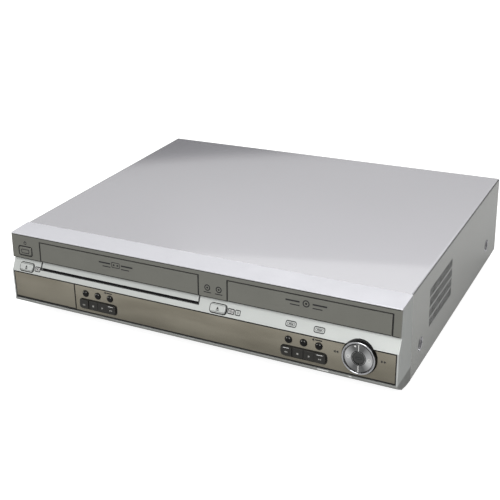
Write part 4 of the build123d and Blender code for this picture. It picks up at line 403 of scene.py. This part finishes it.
# white and grey serve both for print and for painted highlights
white_print_and_glint = moulded("white_print_and_glint", linear(232, 232, 230), linear(205, 205, 202), 0.5, spread=0.03)
grey_print_and_glint = moulded("grey_print_and_glint", linear(168, 168, 163), linear(120, 120, 116), 0.5, spread=0.04)
dark_print = moulded("dark_print", linear(18, 18, 20), linear(60, 60, 62), 0.6, spread=0.05)
# near black paint for the shade in gaps, recesses and under overhangs
gap_shade_paint = moulded("gap_shade_paint", linear(12, 12, 12), linear(34, 34, 34), 0.85, spread=0.1)

PHONO_YELLOW, PHONO_WHITE, PHONO_RED = linear(206, 176, 40), linear(218, 216, 208), linear(168, 40, 36)
UPRIGHT = (0, 0, 1)

finishes = {
    "cover_paint": cover_paint(),
    "silver_plastic": moulded(
        "silver_plastic",
        linear(208, 208, 213),
        linear(230, 230, 232),
        rough=0.34,
        metal=0.35,
        grain=FINE_GRAIN,
        spread=0.035,
        # below the top edge the silver is a little darker and greener; below the chin it is painted
        # shade
        tones=((*TOP_EDGE, linear(195, 198, 195)), (*CHIN_SHADE, linear(140, 141, 138))),
    ),
    "grey_plastic": moulded(
        "grey_plastic",
        linear(124, 124, 117),
        linear(164, 164, 160),
        rough=0.34,
        metal=0.5,
        grain=FINE_GRAIN,
        spread=0.06,
    ),
    "bronze_plastic": bronze_window(),
    "dark_plastic": moulded(
        "dark_plastic",
        linear(8, 8, 8),
        linear(40, 39, 37),
        rough=0.32,
        grain=1500.0,
        spread=0.12,
        Specular_IOR_Level=0.25,
    ),
    "chrome_trim": metal_sheet("chrome_trim", linear(196, 197, 200), 0.2, (900, 900, 900), 0.000005),
    "spun_metal": turned(
        "spun_metal",
        linear(206, 207, 207),
        DIAL_CENTRE,
        DIAL_AXIS,
        pitch=0.00035,
        rough=0.34,
        depth=0.00001,
        shaded=0.32,
    ),
    "steel_sheet": metal_sheet("steel_sheet", linear(176, 178, 182), 0.36, (60, 60, 60), 0.00001, 0.6),
    "black_plastic": moulded("black_plastic", linear(34, 34, 36), linear(84, 84, 86), 0.42, spread=0.15),
    "rubber_foot": moulded(
        "rubber_foot",
        linear(30, 30, 31),
        linear(62, 62, 62),
        rough=0.72,
        grain=900.0,
        depth=0.00006,
        spread=0.15,
    ),
    "screw_steel": metal_sheet("screw_steel", linear(150, 150, 154), 0.3, (1500, 1500, 1500), 0.00002),
    "board": circuit_board(),
    "display_glass": moulded(
        "display_glass",
        linear(16, 22, 24),
        linear(60, 66, 68),
        rough=0.12,
        grain=600.0,
        depth=0.000004,
        spread=0.2,
        Coat_Weight=1.0,
    ),
    "tin_shell": metal_sheet("tin_shell", linear(196, 197, 198), 0.28, (40, 900, 900), 0.00001),
    "jack_plastic": phono_plastic(
        "jack_plastic", FRONT_JACK_BORDERS, (PHONO_YELLOW, PHONO_WHITE, PHONO_RED)
    ),
    "drum_alloy": turned(
        "drum_alloy",
        linear(206, 207, 210),
        DRUM_CENTRE,
        UPRIGHT,
        pitch=0.0012,
        rough=0.16,
        depth=0.00002,
        shaded=0.9,
    ),
    "reel_plastic": moulded("reel_plastic", linear(196, 194, 186), linear(224, 222, 214), 0.42),
    "capstan_steel": metal_sheet("capstan_steel", linear(204, 205, 208), 0.14, (30, 30, 2600), 0.00001),
}

key_plastic = moulded(
    "key_plastic",
    linear(40, 39, 36),
    linear(74, 73, 70),
    rough=0.3,
    grain=1500.0,
    spread=0.1,
    Specular_IOR_Level=0.4,
)
SIDES = ("left", "right")
own_finish = {
    "dial_centre_key": moulded(
        "centre_key", linear(66, 67, 66), linear(120, 120, 118), rough=0.34, metal=0.4, spread=0.06
    ),
    "front_board": front_circuit(),
    "rear_av_jacks": phono_plastic(
        "rear_phono", REAR_JACK_BORDERS, (PHONO_RED, PHONO_WHITE, PHONO_YELLOW)
    ),
    **{f"{side}_key_{letter}": key_plastic for side in SIDES for letter in "abcd"},
}
slot_of = {part["node"]: part["material_slot"] for part in frame["record"]["subparts"]}
for name, node in nodes.items():
    node.data.materials.clear()
    node.data.materials.append(own_finish.get(name) or finishes[slot_of[name]])

# ================================================================ printed marks, painted shade and painted highlights
PROUD = 0.00004
SUNK = 0.00006
BEFORE_FRONT = -0.3
QUARTERS = ((1, 1), (-1, 1), (-1, -1), (1, -1))
body_of = {
    part: body for body, members in frame["record"]["behaviour"]["bodies"].items() for part in members
}


def plate(across, up, width, height, corner=0.0, steps=5):
    """Outline of a rectangle with rounded corners, in millimetres."""
    if not corner:
        return [(across + i * width / 2, up + j * height / 2) for i, j in QUARTERS]
    loop = []
    for quarter, (i, j) in enumerate(QUARTERS):
        middle = across + i * (width / 2 - corner), up + j * (height / 2 - corner)
        for step in range(steps + 1):
            turn = math.pi / 2 * (quarter + step / steps)
            loop.append((middle[0] + corner * math.cos(turn), middle[1] + corner * math.sin(turn)))
    return loop


def arc(across, up, radius, turns):
    """Points of a circle at the given turns, in millimetres."""
    return [(across + radius * math.cos(turn), up + radius * math.sin(turn)) for turn in turns]


def circle(across, up, radius, steps=28):
    """Outline of a circle, in millimetres."""
    return arc(across, up, radius, [math.tau * i / steps for i in range(steps)])


def arrow(across, up, size, heading):
    """Outline of a triangle that points along a heading in degrees."""
    return arc(across, up, size, [math.radians(heading + offset) for offset in (0, 120, 240)])


class Mark:
    """Thin raised mark on one CAD piece, gathered into one mesh: print, painted shade or a painted
    highlight.

    It lies on the front of the piece, or on top of it where shelf gives a height above the ledge.
    """

    def __init__(self, name, node, material, shelf=None, proud=PROUD):
        mesh = nodes[node].data
        self.name, self.node, self.material = name, node, material
        self.shelf = shelf
        self.proud = proud
        self.ground = BVHTree.FromPolygons(
            [vertex.co for vertex in mesh.vertices], [face.vertices for face in mesh.polygons]
        )
        self.shape = bmesh.new()

    def rise(self, loop):
        """Front and back vertices of an outline laid on the piece."""
        front, rear = [], []
        for across, up in loop:
            if self.shelf:
                spot, toward = Vector((across * MM, up * MM, self.shelf)), Vector((0, 0, -1))
            else:
                spot, toward = Vector((across * MM, BEFORE_FRONT, up * MM)), Vector((0, 1, 0))
            hit, normal, _, _ = self.ground.ray_cast(spot, toward)
            front.append(self.shape.verts.new(hit + normal * self.proud))
            rear.append(self.shape.verts.new(hit - normal * SUNK))
        return front, rear

    def fill(self, loop):
        """A solid patch inside an outline."""
        front, rear = self.rise(loop)
        self.shape.faces.new(front)
        self.shape.faces.new(rear[::-1])
        self.walls(front, rear)

    def line(self, outer, inner):
        """A line between two outlines that have the same number of points."""
        front, rear = self.rise(outer)
        front_in, rear_in = self.rise(inner)
        for ring, other in ((front, front_in), (rear_in, rear)):
            for i, corner in enumerate(ring):
                j = (i + 1) % len(ring)
                self.shape.faces.new((corner, ring[j], other[j], other[i]))
        self.walls(front, rear)
        self.walls(rear_in, front_in)

    def band(self, outer, inner):
        """An open line between two paths that have the same number of points."""
        front, rear = self.rise(outer)
        front_in, rear_in = self.rise(inner)
        for i in range(len(outer) - 1):
            self.shape.faces.new((front[i], front[i + 1], front_in[i + 1], front_in[i]))
            self.shape.faces.new((rear[i + 1], rear[i], rear_in[i], rear_in[i + 1]))
            self.shape.faces.new((front[i + 1], front[i], rear[i], rear[i + 1]))
            self.shape.faces.new((front_in[i], front_in[i + 1], rear_in[i + 1], rear_in[i]))
        for i in (0, -1):
            self.shape.faces.new((front[i], front_in[i], rear_in[i], rear[i]))

    def walls(self, near, far):
        for i, corner in enumerate(near):
            j = (i + 1) % len(near)
            self.shape.faces.new((corner, far[i], far[j], near[j]))

    def done(self):
        """Turns the gathered marks into a piece that rides with the body it lies on."""
        bmesh.ops.recalc_face_normals(self.shape, faces=self.shape.faces[:])
        mesh = bpy.data.meshes.new(self.name)
        self.shape.to_mesh(mesh)
        self.shape.free()
        mesh.materials.append(self.material)
        piece = bpy.data.objects.new(self.name, mesh)
        bpy.context.scene.collection.objects.link(piece)
        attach(piece, body_of[self.node])


def strip(mark, left, right, foot, top):
    """Straight bar between its sides."""
    mark.fill(plate((left + right) / 2, (foot + top) / 2, right - left, top - foot))


def framed(mark, across, up, width, height, corner, stroke):
    """Rounded frame of even line width."""
    inner = plate(across, up, width - 2 * stroke, height - 2 * stroke, corner - stroke)
    mark.line(plate(across, up, width, height, corner), inner)


def ring(mark, across, up, radius, stroke):
    mark.line(circle(across, up, radius), circle(across, up, radius - stroke))


def dot(mark, across, up, radius, steps=16):
    mark.fill(circle(across, up, radius, steps))


def tape_sign(mark, across, up, size):
    """Cassette drawn as a frame with two reels."""
    framed(mark, across, up, 1.9 * size, 1.15 * size, 0.2 * size, 0.15 * size)
    for side in (-1, 1):
        dot(mark, across + side * 0.42 * size, up, 0.2 * size)


def disc_sign(mark, across, up, size):
    """Disc drawn as a ring round a hub."""
    ring(mark, across, up, 0.62 * size, 0.2 * size)
    dot(mark, across, up, 0.2 * size)


def eject_sign(mark, across, up, size):
    """Arrow up over a bar."""
    mark.fill(arrow(across, up, size, 90))
    mark.fill(plate(across, up - size, 1.9 * size, 0.4 * size))


# ---------------------------------------------------------------- painted shade lines in and beside the gaps
NEAR = 0.05  # from an edge to the line beside it
LINE = 1.0  # width of the upright lines
THIN = 0.6  # height of the level lines on the fascia
MOUTH_CLEAR = 0.5  # from a door to its opening, left and right
MOUTH_TOP = 88.2
SILL = 58.2
SILL_LINE = (SILL - 0.3, 66.1)
DOOR_LINE = (67.55, 68.2)
SHELF_MIDDLE, SHELF_DEPTH, ABOVE_SHELF = -163.6, 8.2, 0.0600
EJECT_UP = 58.5
EJECT_HOLE = (19.3, 9.0, 3.4)  # width, height and corner
EJECT_FACE = (17.2, 7.2, 2.3)
POWER_X = middle_of("power_button")
POWER_SURROUND = (18.6, 11.2, 2.6, 1.1)  # width, height, corner and stroke
KEY_SURROUND = (46.9, 11.7, 4.2, 0.75)

WINDOW_LEFT, WINDOW_RIGHT, WINDOW_FOOT, WINDOW_TOP = side_view("window_panel")
WINDOW_LINE = (WINDOW_TOP - 0.9, WINDOW_TOP - NEAR)
DIAL_GAP = (165.0, 193.4)
END = WINDOW_RIGHT - 0.1
JACK_LEFT, JACK_RIGHT, JACK_FOOT, _ = side_view("jack_door")
JACK_LEFT += 0.01  # clear of the very edge, where a ray can miss the door
JACK_LINE = (JACK_FOOT + 0.1, JACK_FOOT + 1.5)
_, _, FASCIA_FOOT, FASCIA_TOP = side_view("upper_fascia")
FASCIA_FOOT += 0.1
FASCIA_TOP -= 0.1


def mouth_of(door):
    """Left and right of the opening round a door."""
    left, right, _, _ = side_view(door)
    return left - MOUTH_CLEAR, right + MOUTH_CLEAR


CASSETTE = mouth_of("cassette_door_lip")
TRAY = mouth_of("tray_front")
KEY_ROWS = [(side_view(f"{side}_key_a")[0] + side_view(f"{side}_key_d")[1]) / 2 for side in SIDES]

gap_shading = Mark("fascia_gap_shade", "upper_fascia", gap_shade_paint)
# painted shade in the gaps left and right of each door and above it
for left, right in (CASSETTE, TRAY):
    for edge in (left - NEAR - LINE, right + NEAR):
        strip(gap_shading, edge, edge + LINE, FASCIA_FOOT, MOUTH_TOP + NEAR)
    strip(gap_shading, left - NEAR - LINE, right + NEAR + LINE, MOUTH_TOP + NEAR, MOUTH_TOP + NEAR + THIN)
# painted shade along the top of the fascia
strip(gap_shading, -END, END, FASCIA_TOP - 0.7, FASCIA_TOP)
# painted shadow under the overhanging foot of the fascia, beside the mouths
beside = ((-END, CASSETTE[0] - NEAR), (CASSETTE[1] + NEAR, TRAY[0] - NEAR), (TRAY[1] + NEAR, END))
for left, right in beside:
    strip(gap_shading, left, right, FASCIA_FOOT, FASCIA_FOOT + THIN)
# painted shade round the power button
framed(gap_shading, POWER_X, 75.9, *POWER_SURROUND)
gap_shading.done()

# painted shade line along the foot of each door
for node, (left, right), inset in (("tray_front", TRAY, 0.8), ("cassette_door", CASSETTE, 0.6)):
    foot_shade = Mark(node + "_gap", node, gap_shade_paint)
    strip(foot_shade, left + inset, right - inset, *DOOR_LINE)
    foot_shade.done()

EJECT_BUTTONS = ("cassette_eject_button", "disc_eject_button")
left, right = CASSETTE
gap_shading = Mark("bezel_gap_shade", "front_bezel", gap_shade_paint)
for button in EJECT_BUTTONS:
    across = middle_of(button)
    # painted shade round each eject button, shifted so it is thicker on the right and at the foot
    hole = plate(across + 0.5, EJECT_UP - 0.1, *EJECT_HOLE)
    gap_shading.line(hole, plate(across, EJECT_UP, *EJECT_FACE))
# painted shade beside the cassette mouth's lip and along its sill
strip(gap_shading, left - NEAR - 1.3, left - NEAR, *SILL_LINE)
strip(gap_shading, right + NEAR, right + NEAR + LINE, *SILL_LINE)
strip(gap_shading, left - NEAR, right + NEAR, SILL_LINE[0], SILL - NEAR)
gap_shading.done()
shelf = Mark("mouth_shelf_shade", "front_bezel", gap_shade_paint, shelf=ABOVE_SHELF)
shelf.fill(plate((left + right) / 2, SHELF_MIDDLE, right - left - 0.4, SHELF_DEPTH))
shelf.done()

# painted shade lines along the top, right end and foot of the window, and round the key bars
gap_shading = Mark("window_gap_shade", "window_panel", gap_shade_paint)
strip(gap_shading, WINDOW_LEFT + 0.1, DIAL_GAP[0], *WINDOW_LINE)
strip(gap_shading, DIAL_GAP[1], END, *WINDOW_LINE)
strip(gap_shading, END - 0.9, END, WINDOW_FOOT + 1.3, WINDOW_LINE[0])
strip(gap_shading, WINDOW_LEFT + 0.1, END, WINDOW_FOOT + NEAR, WINDOW_FOOT + 1.3)
for middle in KEY_ROWS:
    framed(gap_shading, middle, 32.9, *KEY_SURROUND)
gap_shading.done()
# painted shade lines round the jack door
gap_shading = Mark("jack_door_gap_shade", "jack_door", gap_shade_paint)
strip(gap_shading, JACK_LEFT, JACK_RIGHT - NEAR, *WINDOW_LINE)
strip(gap_shading, JACK_LEFT, JACK_LEFT + LINE, JACK_LINE[1], WINDOW_LINE[0])
strip(gap_shading, JACK_RIGHT - 0.9, JACK_RIGHT - NEAR, JACK_LINE[1], WINDOW_LINE[0])
strip(gap_shading, JACK_LEFT, JACK_RIGHT - NEAR, *JACK_LINE)
gap_shading.done()

# ---------------------------------------------------------------- signs on the band and fascia, and painted highlights on the rail
for button in EJECT_BUTTONS:
    sign = Mark(button + "_sign", button, dark_print)
    eject_sign(sign, middle_of(button), EJECT_UP + 0.5, 1.6)
    sign.done()

BADGE_UP, LABEL_UP = 58.3, 58.8
DISC_BADGE_X = 56.4
BADGE = (7.2, 4.8, 0.9)  # width, height and corner
BADGE_FRAME = (5.2, 2.8, 0.4, 0.45)  # width, height, corner and stroke
DISC_FRAME = (5.8, 4.8, 0.9, 0.8)
LABEL_FRAMES = ((11.0, 5.2, 1.9, 0.8), (7.6, 2.4, 0.7, 0.4))
RAIL_HIGHLIGHTS = ((139.0, 150.0), (169.8, 172.4))
RAIL_RISE = (20.8, 21.7)
band = Mark("silver_band_signs", "front_bezel", dark_print)
pale = Mark("silver_band_marks", "front_bezel", white_print_and_glint, proud=2 * PROUD)
for across in (-182.5, 49.2):
    band.fill(plate(across, BADGE_UP, *BADGE))
    framed(pale, across, BADGE_UP, *BADGE_FRAME)
    for side in (-1, 1):
        dot(pale, across + side * 1.1, BADGE_UP, 0.5, 12)
pale.done()
framed(band, DISC_BADGE_X, BADGE_UP, *DISC_FRAME)
disc_sign(band, DISC_BADGE_X, BADGE_UP, 1.7)
for across in (111.3, 139.4):
    for frame_size in LABEL_FRAMES:
        framed(band, across, LABEL_UP, *frame_size)
    band.fill(plate(across, LABEL_UP, 4.6, 0.8))
band.done()
# painted highlights on the rail under the window
rail_highlights = Mark("rail_painted_highlights", "front_bezel", white_print_and_glint)
for left, right in RAIL_HIGHLIGHTS:
    strip(rail_highlights, left, right, *RAIL_RISE)
rail_highlights.done()

POWER_SIGN_X, POWER_SIGN_UP = POWER_X + 0.2, 84.6
POWER_FRAME = (10.4, 4.8, 1.1, 0.8)
DISC_SIGN_UP = 77.2
DISC_SIGN_LINE = (72.0, 72.9)
fascia = Mark("fascia_signs", "upper_fascia", dark_print)
ring(fascia, POWER_SIGN_X, POWER_SIGN_UP, 1.9, 0.8)
fascia.fill(plate(POWER_SIGN_X, POWER_SIGN_UP + 1.4, 0.9, 1.9))
for across in (23.4, 35.8):
    disc_sign(fascia, across, DISC_SIGN_UP, 5.2)
    strip(fascia, across - 4.0, across + 4.0, *DISC_SIGN_LINE)
fascia.done()

power = Mark("power_button_sign", "power_button", dark_print)
framed(power, POWER_X, 75.7, *POWER_FRAME)
power.done()

DOOR_SIGN, TRAY_SIGN = (-82.0, 80.4), (125.6, 81.2)
SIGN_BARS = ((13.4, 0.6, 14.0, 1.5), (11.2, -3.0, 9.6, 1.0))  # aside, up, width and height
door = Mark("cassette_door_sign", "cassette_door", dark_print)
tape_sign(door, *DOOR_SIGN, 5.2)
tray = Mark("tray_front_sign", "tray_front", dark_print)
disc_sign(tray, *TRAY_SIGN, 5.6)
for sign, (middle, up) in ((door, DOOR_SIGN), (tray, TRAY_SIGN)):
    for side in (-1, 1):
        for aside, rise, width, height in SIGN_BARS:
            sign.fill(plate(middle + side * aside, up + rise, width, height))
    sign.done()

# ---------------------------------------------------------------- signs on keys and buttons, painted highlights on their edges, and painted shade round the dial keys
KEY_UP = 32.5
KEY_GLINT = (36.4, 36.9)
for side in SIDES:
    for letter in "abcd":
        node = f"{side}_key_{letter}"
        key = Mark(node + "_sign", node, grey_print_and_glint)
        across = middle_of(node)
        if letter == "b":
            key.fill(plate(across, KEY_UP, 1.8, 1.7))
        elif letter == "c":
            key.fill(arrow(across, KEY_UP, 1.3, 0))
        else:
            heading = 180 if letter == "a" else 0
            for step in (-0.85, 0.85):
                key.fill(arrow(across + step, KEY_UP, 1.0, heading))
        key.done()
        # painted highlight along the top edge of the end keys
        if (side, letter) != ("left", "a") and letter in "ad":
            glint = Mark(node + "_painted_glint", node, white_print_and_glint)
            strip(glint, across - 3.0, across + 2.8, *KEY_GLINT)
            glint.done()

DIAL_FACE_UP = 42.75
SHADE_RINGS = (13.9, 7.0)
SHADE_STROKE = 0.7
SHADE_FROM, SHADE_SWEEP, SHADE_STEPS = 11, 158, 24  # degrees from the top, and steps
RIB_OUT, RIB_SIZE = 10.2, (0.75, 6.6)
ribs = Mark("dial_ribs_print", "dial_housing", white_print_and_glint)
for turn in (1, -1):
    ribs.fill(plate(DIAL_X, DIAL_UP + turn * RIB_OUT, *RIB_SIZE))
ribs.done()
for node, turn in (("dial_key_left", -1), ("dial_key_right", 1)):
    key = Mark(node + "_sign", node, white_print_and_glint)
    ring(key, DIAL_X + turn * 9.9, DIAL_UP, 1.7, 0.5)
    if turn < 0:
        dot(key, DIAL_X - 3.4, DIAL_UP + 11.2, 0.9)
    key.done()
    shade_rings = Mark(node + "_shade", node, gap_shade_paint)
    sweep = [SHADE_FROM + SHADE_SWEEP * step / SHADE_STEPS for step in range(SHADE_STEPS + 1)]
    half = [math.radians(90 - turn * degrees) for degrees in sweep]
    for radius in SHADE_RINGS:
        outer = arc(DIAL_X, DIAL_FACE_UP, radius, half)
        shade_rings.band(outer, arc(DIAL_X, DIAL_FACE_UP, radius - SHADE_STROKE, half))
    shade_rings.done()
centre = Mark("dial_centre_key_sign", "dial_centre_key", dark_print)
framed(centre, DIAL_X, DIAL_UP, 5.6, 2.6, 0.8, 0.6)
centre.done()

BUTTON_UP = 44.4
GLINT_OUT, GLINT_IN = 2.7, 2.1
GLINT_STARTS, GLINT_SWEEP, GLINT_STEPS = (40, 112), 30, 6
# painted highlights on the upper rim of each round button
for node in (f"{side}_button_{letter}" for side in SIDES for letter in "abc"):
    glint = Mark(node + "_painted_glint", node, grey_print_and_glint)
    across = middle_of(node)
    for start in GLINT_STARTS:
        sweep = [start + GLINT_SWEEP * step / GLINT_STEPS for step in range(GLINT_STEPS + 1)]
        turns = [math.radians(degrees) for degrees in sweep]
        outer = arc(across, BUTTON_UP, GLINT_OUT, turns)
        glint.band(outer, arc(across, BUTTON_UP, GLINT_IN, turns))
    glint.done()

ARROWS_UP = 49.9
window = Mark("window_signs", "window_panel", dark_print)
for turn in (-1, 1):
    for step in (0, 2.6):
        window.fill(arrow(DIAL_X + turn * (20.8 + step), DIAL_UP + 0.4, 1.5, 90 - 90 * turn))
for across in (-94.6, 134.8):
    window.fill(arrow(across, ARROWS_UP, 1.7, 180))
    window.fill(plate(across + 5.0, ARROWS_UP, 7.0, 1.2))
window.done()

# ================================================================ floor, light and camera
WHITE = (1.0, 1.0, 1.0, 1.0)
FLOOR_REACH = 9.0
FLOOR_BACK = (0.3, 0.3, 0.3, 1.0)
FLOOR_SEEN = (0.47, 0.47, 0.47, 1.0)
FLOOR_LIFT = 0.9


def floor_paper():
    """Matt paper, lifted to white for the camera, that throws little light back on the part."""
    finish = Finish("floor_paper", 0.9, Specular_IOR_Level=0.0, Emission_Color=WHITE)
    rays = finish.add("ShaderNodeLightPath").outputs
    seen = finish.math("MAXIMUM", rays["Is Camera Ray"], rays["Is Glossy Ray"])
    lift = finish.math("MULTIPLY", rays["Is Camera Ray"], FLOOR_LIFT)
    finish.put(finish.shader.inputs["Base Color"], finish.mix(seen, FLOOR_BACK, FLOOR_SEEN))
    finish.put(finish.shader.inputs["Emission Strength"], lift)
    return finish.material


floor_mesh = bpy.data.meshes.new("floor")
shaper = bmesh.new()
bmesh.ops.create_grid(shaper, x_segments=8, y_segments=8, size=FLOOR_REACH)
shaper.to_mesh(floor_mesh)
shaper.free()
floor = bpy.data.objects.new("floor", floor_mesh)
bpy.context.scene.collection.objects.link(floor)
floor_mesh.materials.append(floor_paper())

# The room is bright overhead. Below a level it stays lit toward the front left and falls dark
# toward the back right. Directions are unit vectors, so a height here is the sine of an angle.
LIT_SIDE = (-0.7, -0.7, 0.0)
HORIZON_ENDS = (0.1, 0.5, 0.05, 0.5)
CEILING_ENDS = (0.322, 0.331, 0.0, 0.82)


def studio_room():
    """World light: a bright ceiling over the horizon, and plain white where the camera sees it."""
    world = bpy.data.worlds.new("studio")
    world.use_nodes = True
    sky = world.node_tree
    air = sky.nodes["Background"]
    heading = new_node(sky, "ShaderNodeTexCoord").outputs["Generated"]
    parts = new_node(sky, "ShaderNodeSeparateXYZ")
    sky.links.new(heading, parts.inputs[0])
    toward = new_node(sky, "ShaderNodeVectorMath", operation="DOT_PRODUCT")
    sky.links.new(heading, toward.inputs[0])
    toward.inputs[1].default_value = LIT_SIDE
    wall = new_node(sky, "ShaderNodeMapRange")
    sky.links.new(toward.outputs["Value"], wall.inputs["Value"])
    set_ends(wall, HORIZON_ENDS)
    ceiling = new_node(sky, "ShaderNodeMapRange")
    sky.links.new(parts.outputs["Z"], ceiling.inputs["Value"])
    set_ends(ceiling, CEILING_ENDS)
    sky.links.new(wall.outputs[0], ceiling.inputs["To Min"])
    rays = new_node(sky, "ShaderNodeLightPath")
    level = new_node(sky, "ShaderNodeMath", operation="MAXIMUM")
    sky.links.new(ceiling.outputs[0], level.inputs[0])
    sky.links.new(rays.outputs["Is Camera Ray"], level.inputs[1])
    air.inputs["Color"].default_value = WHITE
    sky.links.new(level.outputs[0], air.inputs["Strength"])
    return world


def soft_box(name, place, target, size, power):
    """Rectangular soft light aimed at a point."""
    lamp = bpy.data.lights.new(name, "AREA")
    lamp.energy = power
    lamp.shape = "RECTANGLE"
    lamp.size, lamp.size_y = size
    holder = bpy.data.objects.new(name, lamp)
    bpy.context.scene.collection.objects.link(holder)
    holder.location = place
    aim = Vector(target) - Vector(place)
    holder.rotation_euler = aim.to_track_quat("-Z", "Y").to_euler()


bpy.context.scene.world = studio_room()
soft_box("key_light", (0.2, -1.0, 1.15), (0.05, -0.1, 0.05), (0.9, 0.9), power=13.4)
soft_box("back_light", (-0.4, 1.6, 1.5), (0.0, 0.1, 0.05), (1.6, 1.0), power=2.5)

# The photograph's camera: its place, its turn about the vertical, its rise and its roll in radians.
EYE = (0.4284, -0.8111, 0.4694)
FOCAL_LENGTH = 65.32
TURN, RISE, ROLL = 0.5049, 0.4368, -0.0497
back = Vector((math.sin(TURN) * math.cos(RISE), -math.cos(TURN) * math.cos(RISE), math.sin(RISE)))
right = Vector((math.cos(TURN), math.sin(TURN), 0.0))
up = right.cross(-back)
side = right * math.cos(ROLL) + up * math.sin(ROLL)
over = -right * math.sin(ROLL) + up * math.cos(ROLL)
lens = bpy.data.cameras.new("camera")
lens.sensor_width = 36.0
lens.lens = FOCAL_LENGTH
camera = bpy.data.objects.new("camera", lens)
bpy.context.scene.collection.objects.link(camera)
facing = Matrix((side, over, back)).transposed().to_4x4()
camera.matrix_world = Matrix.Translation(EYE) @ facing
bpy.context.scene.camera = camera
bpy.context.scene.view_settings.view_transform = "Standard"
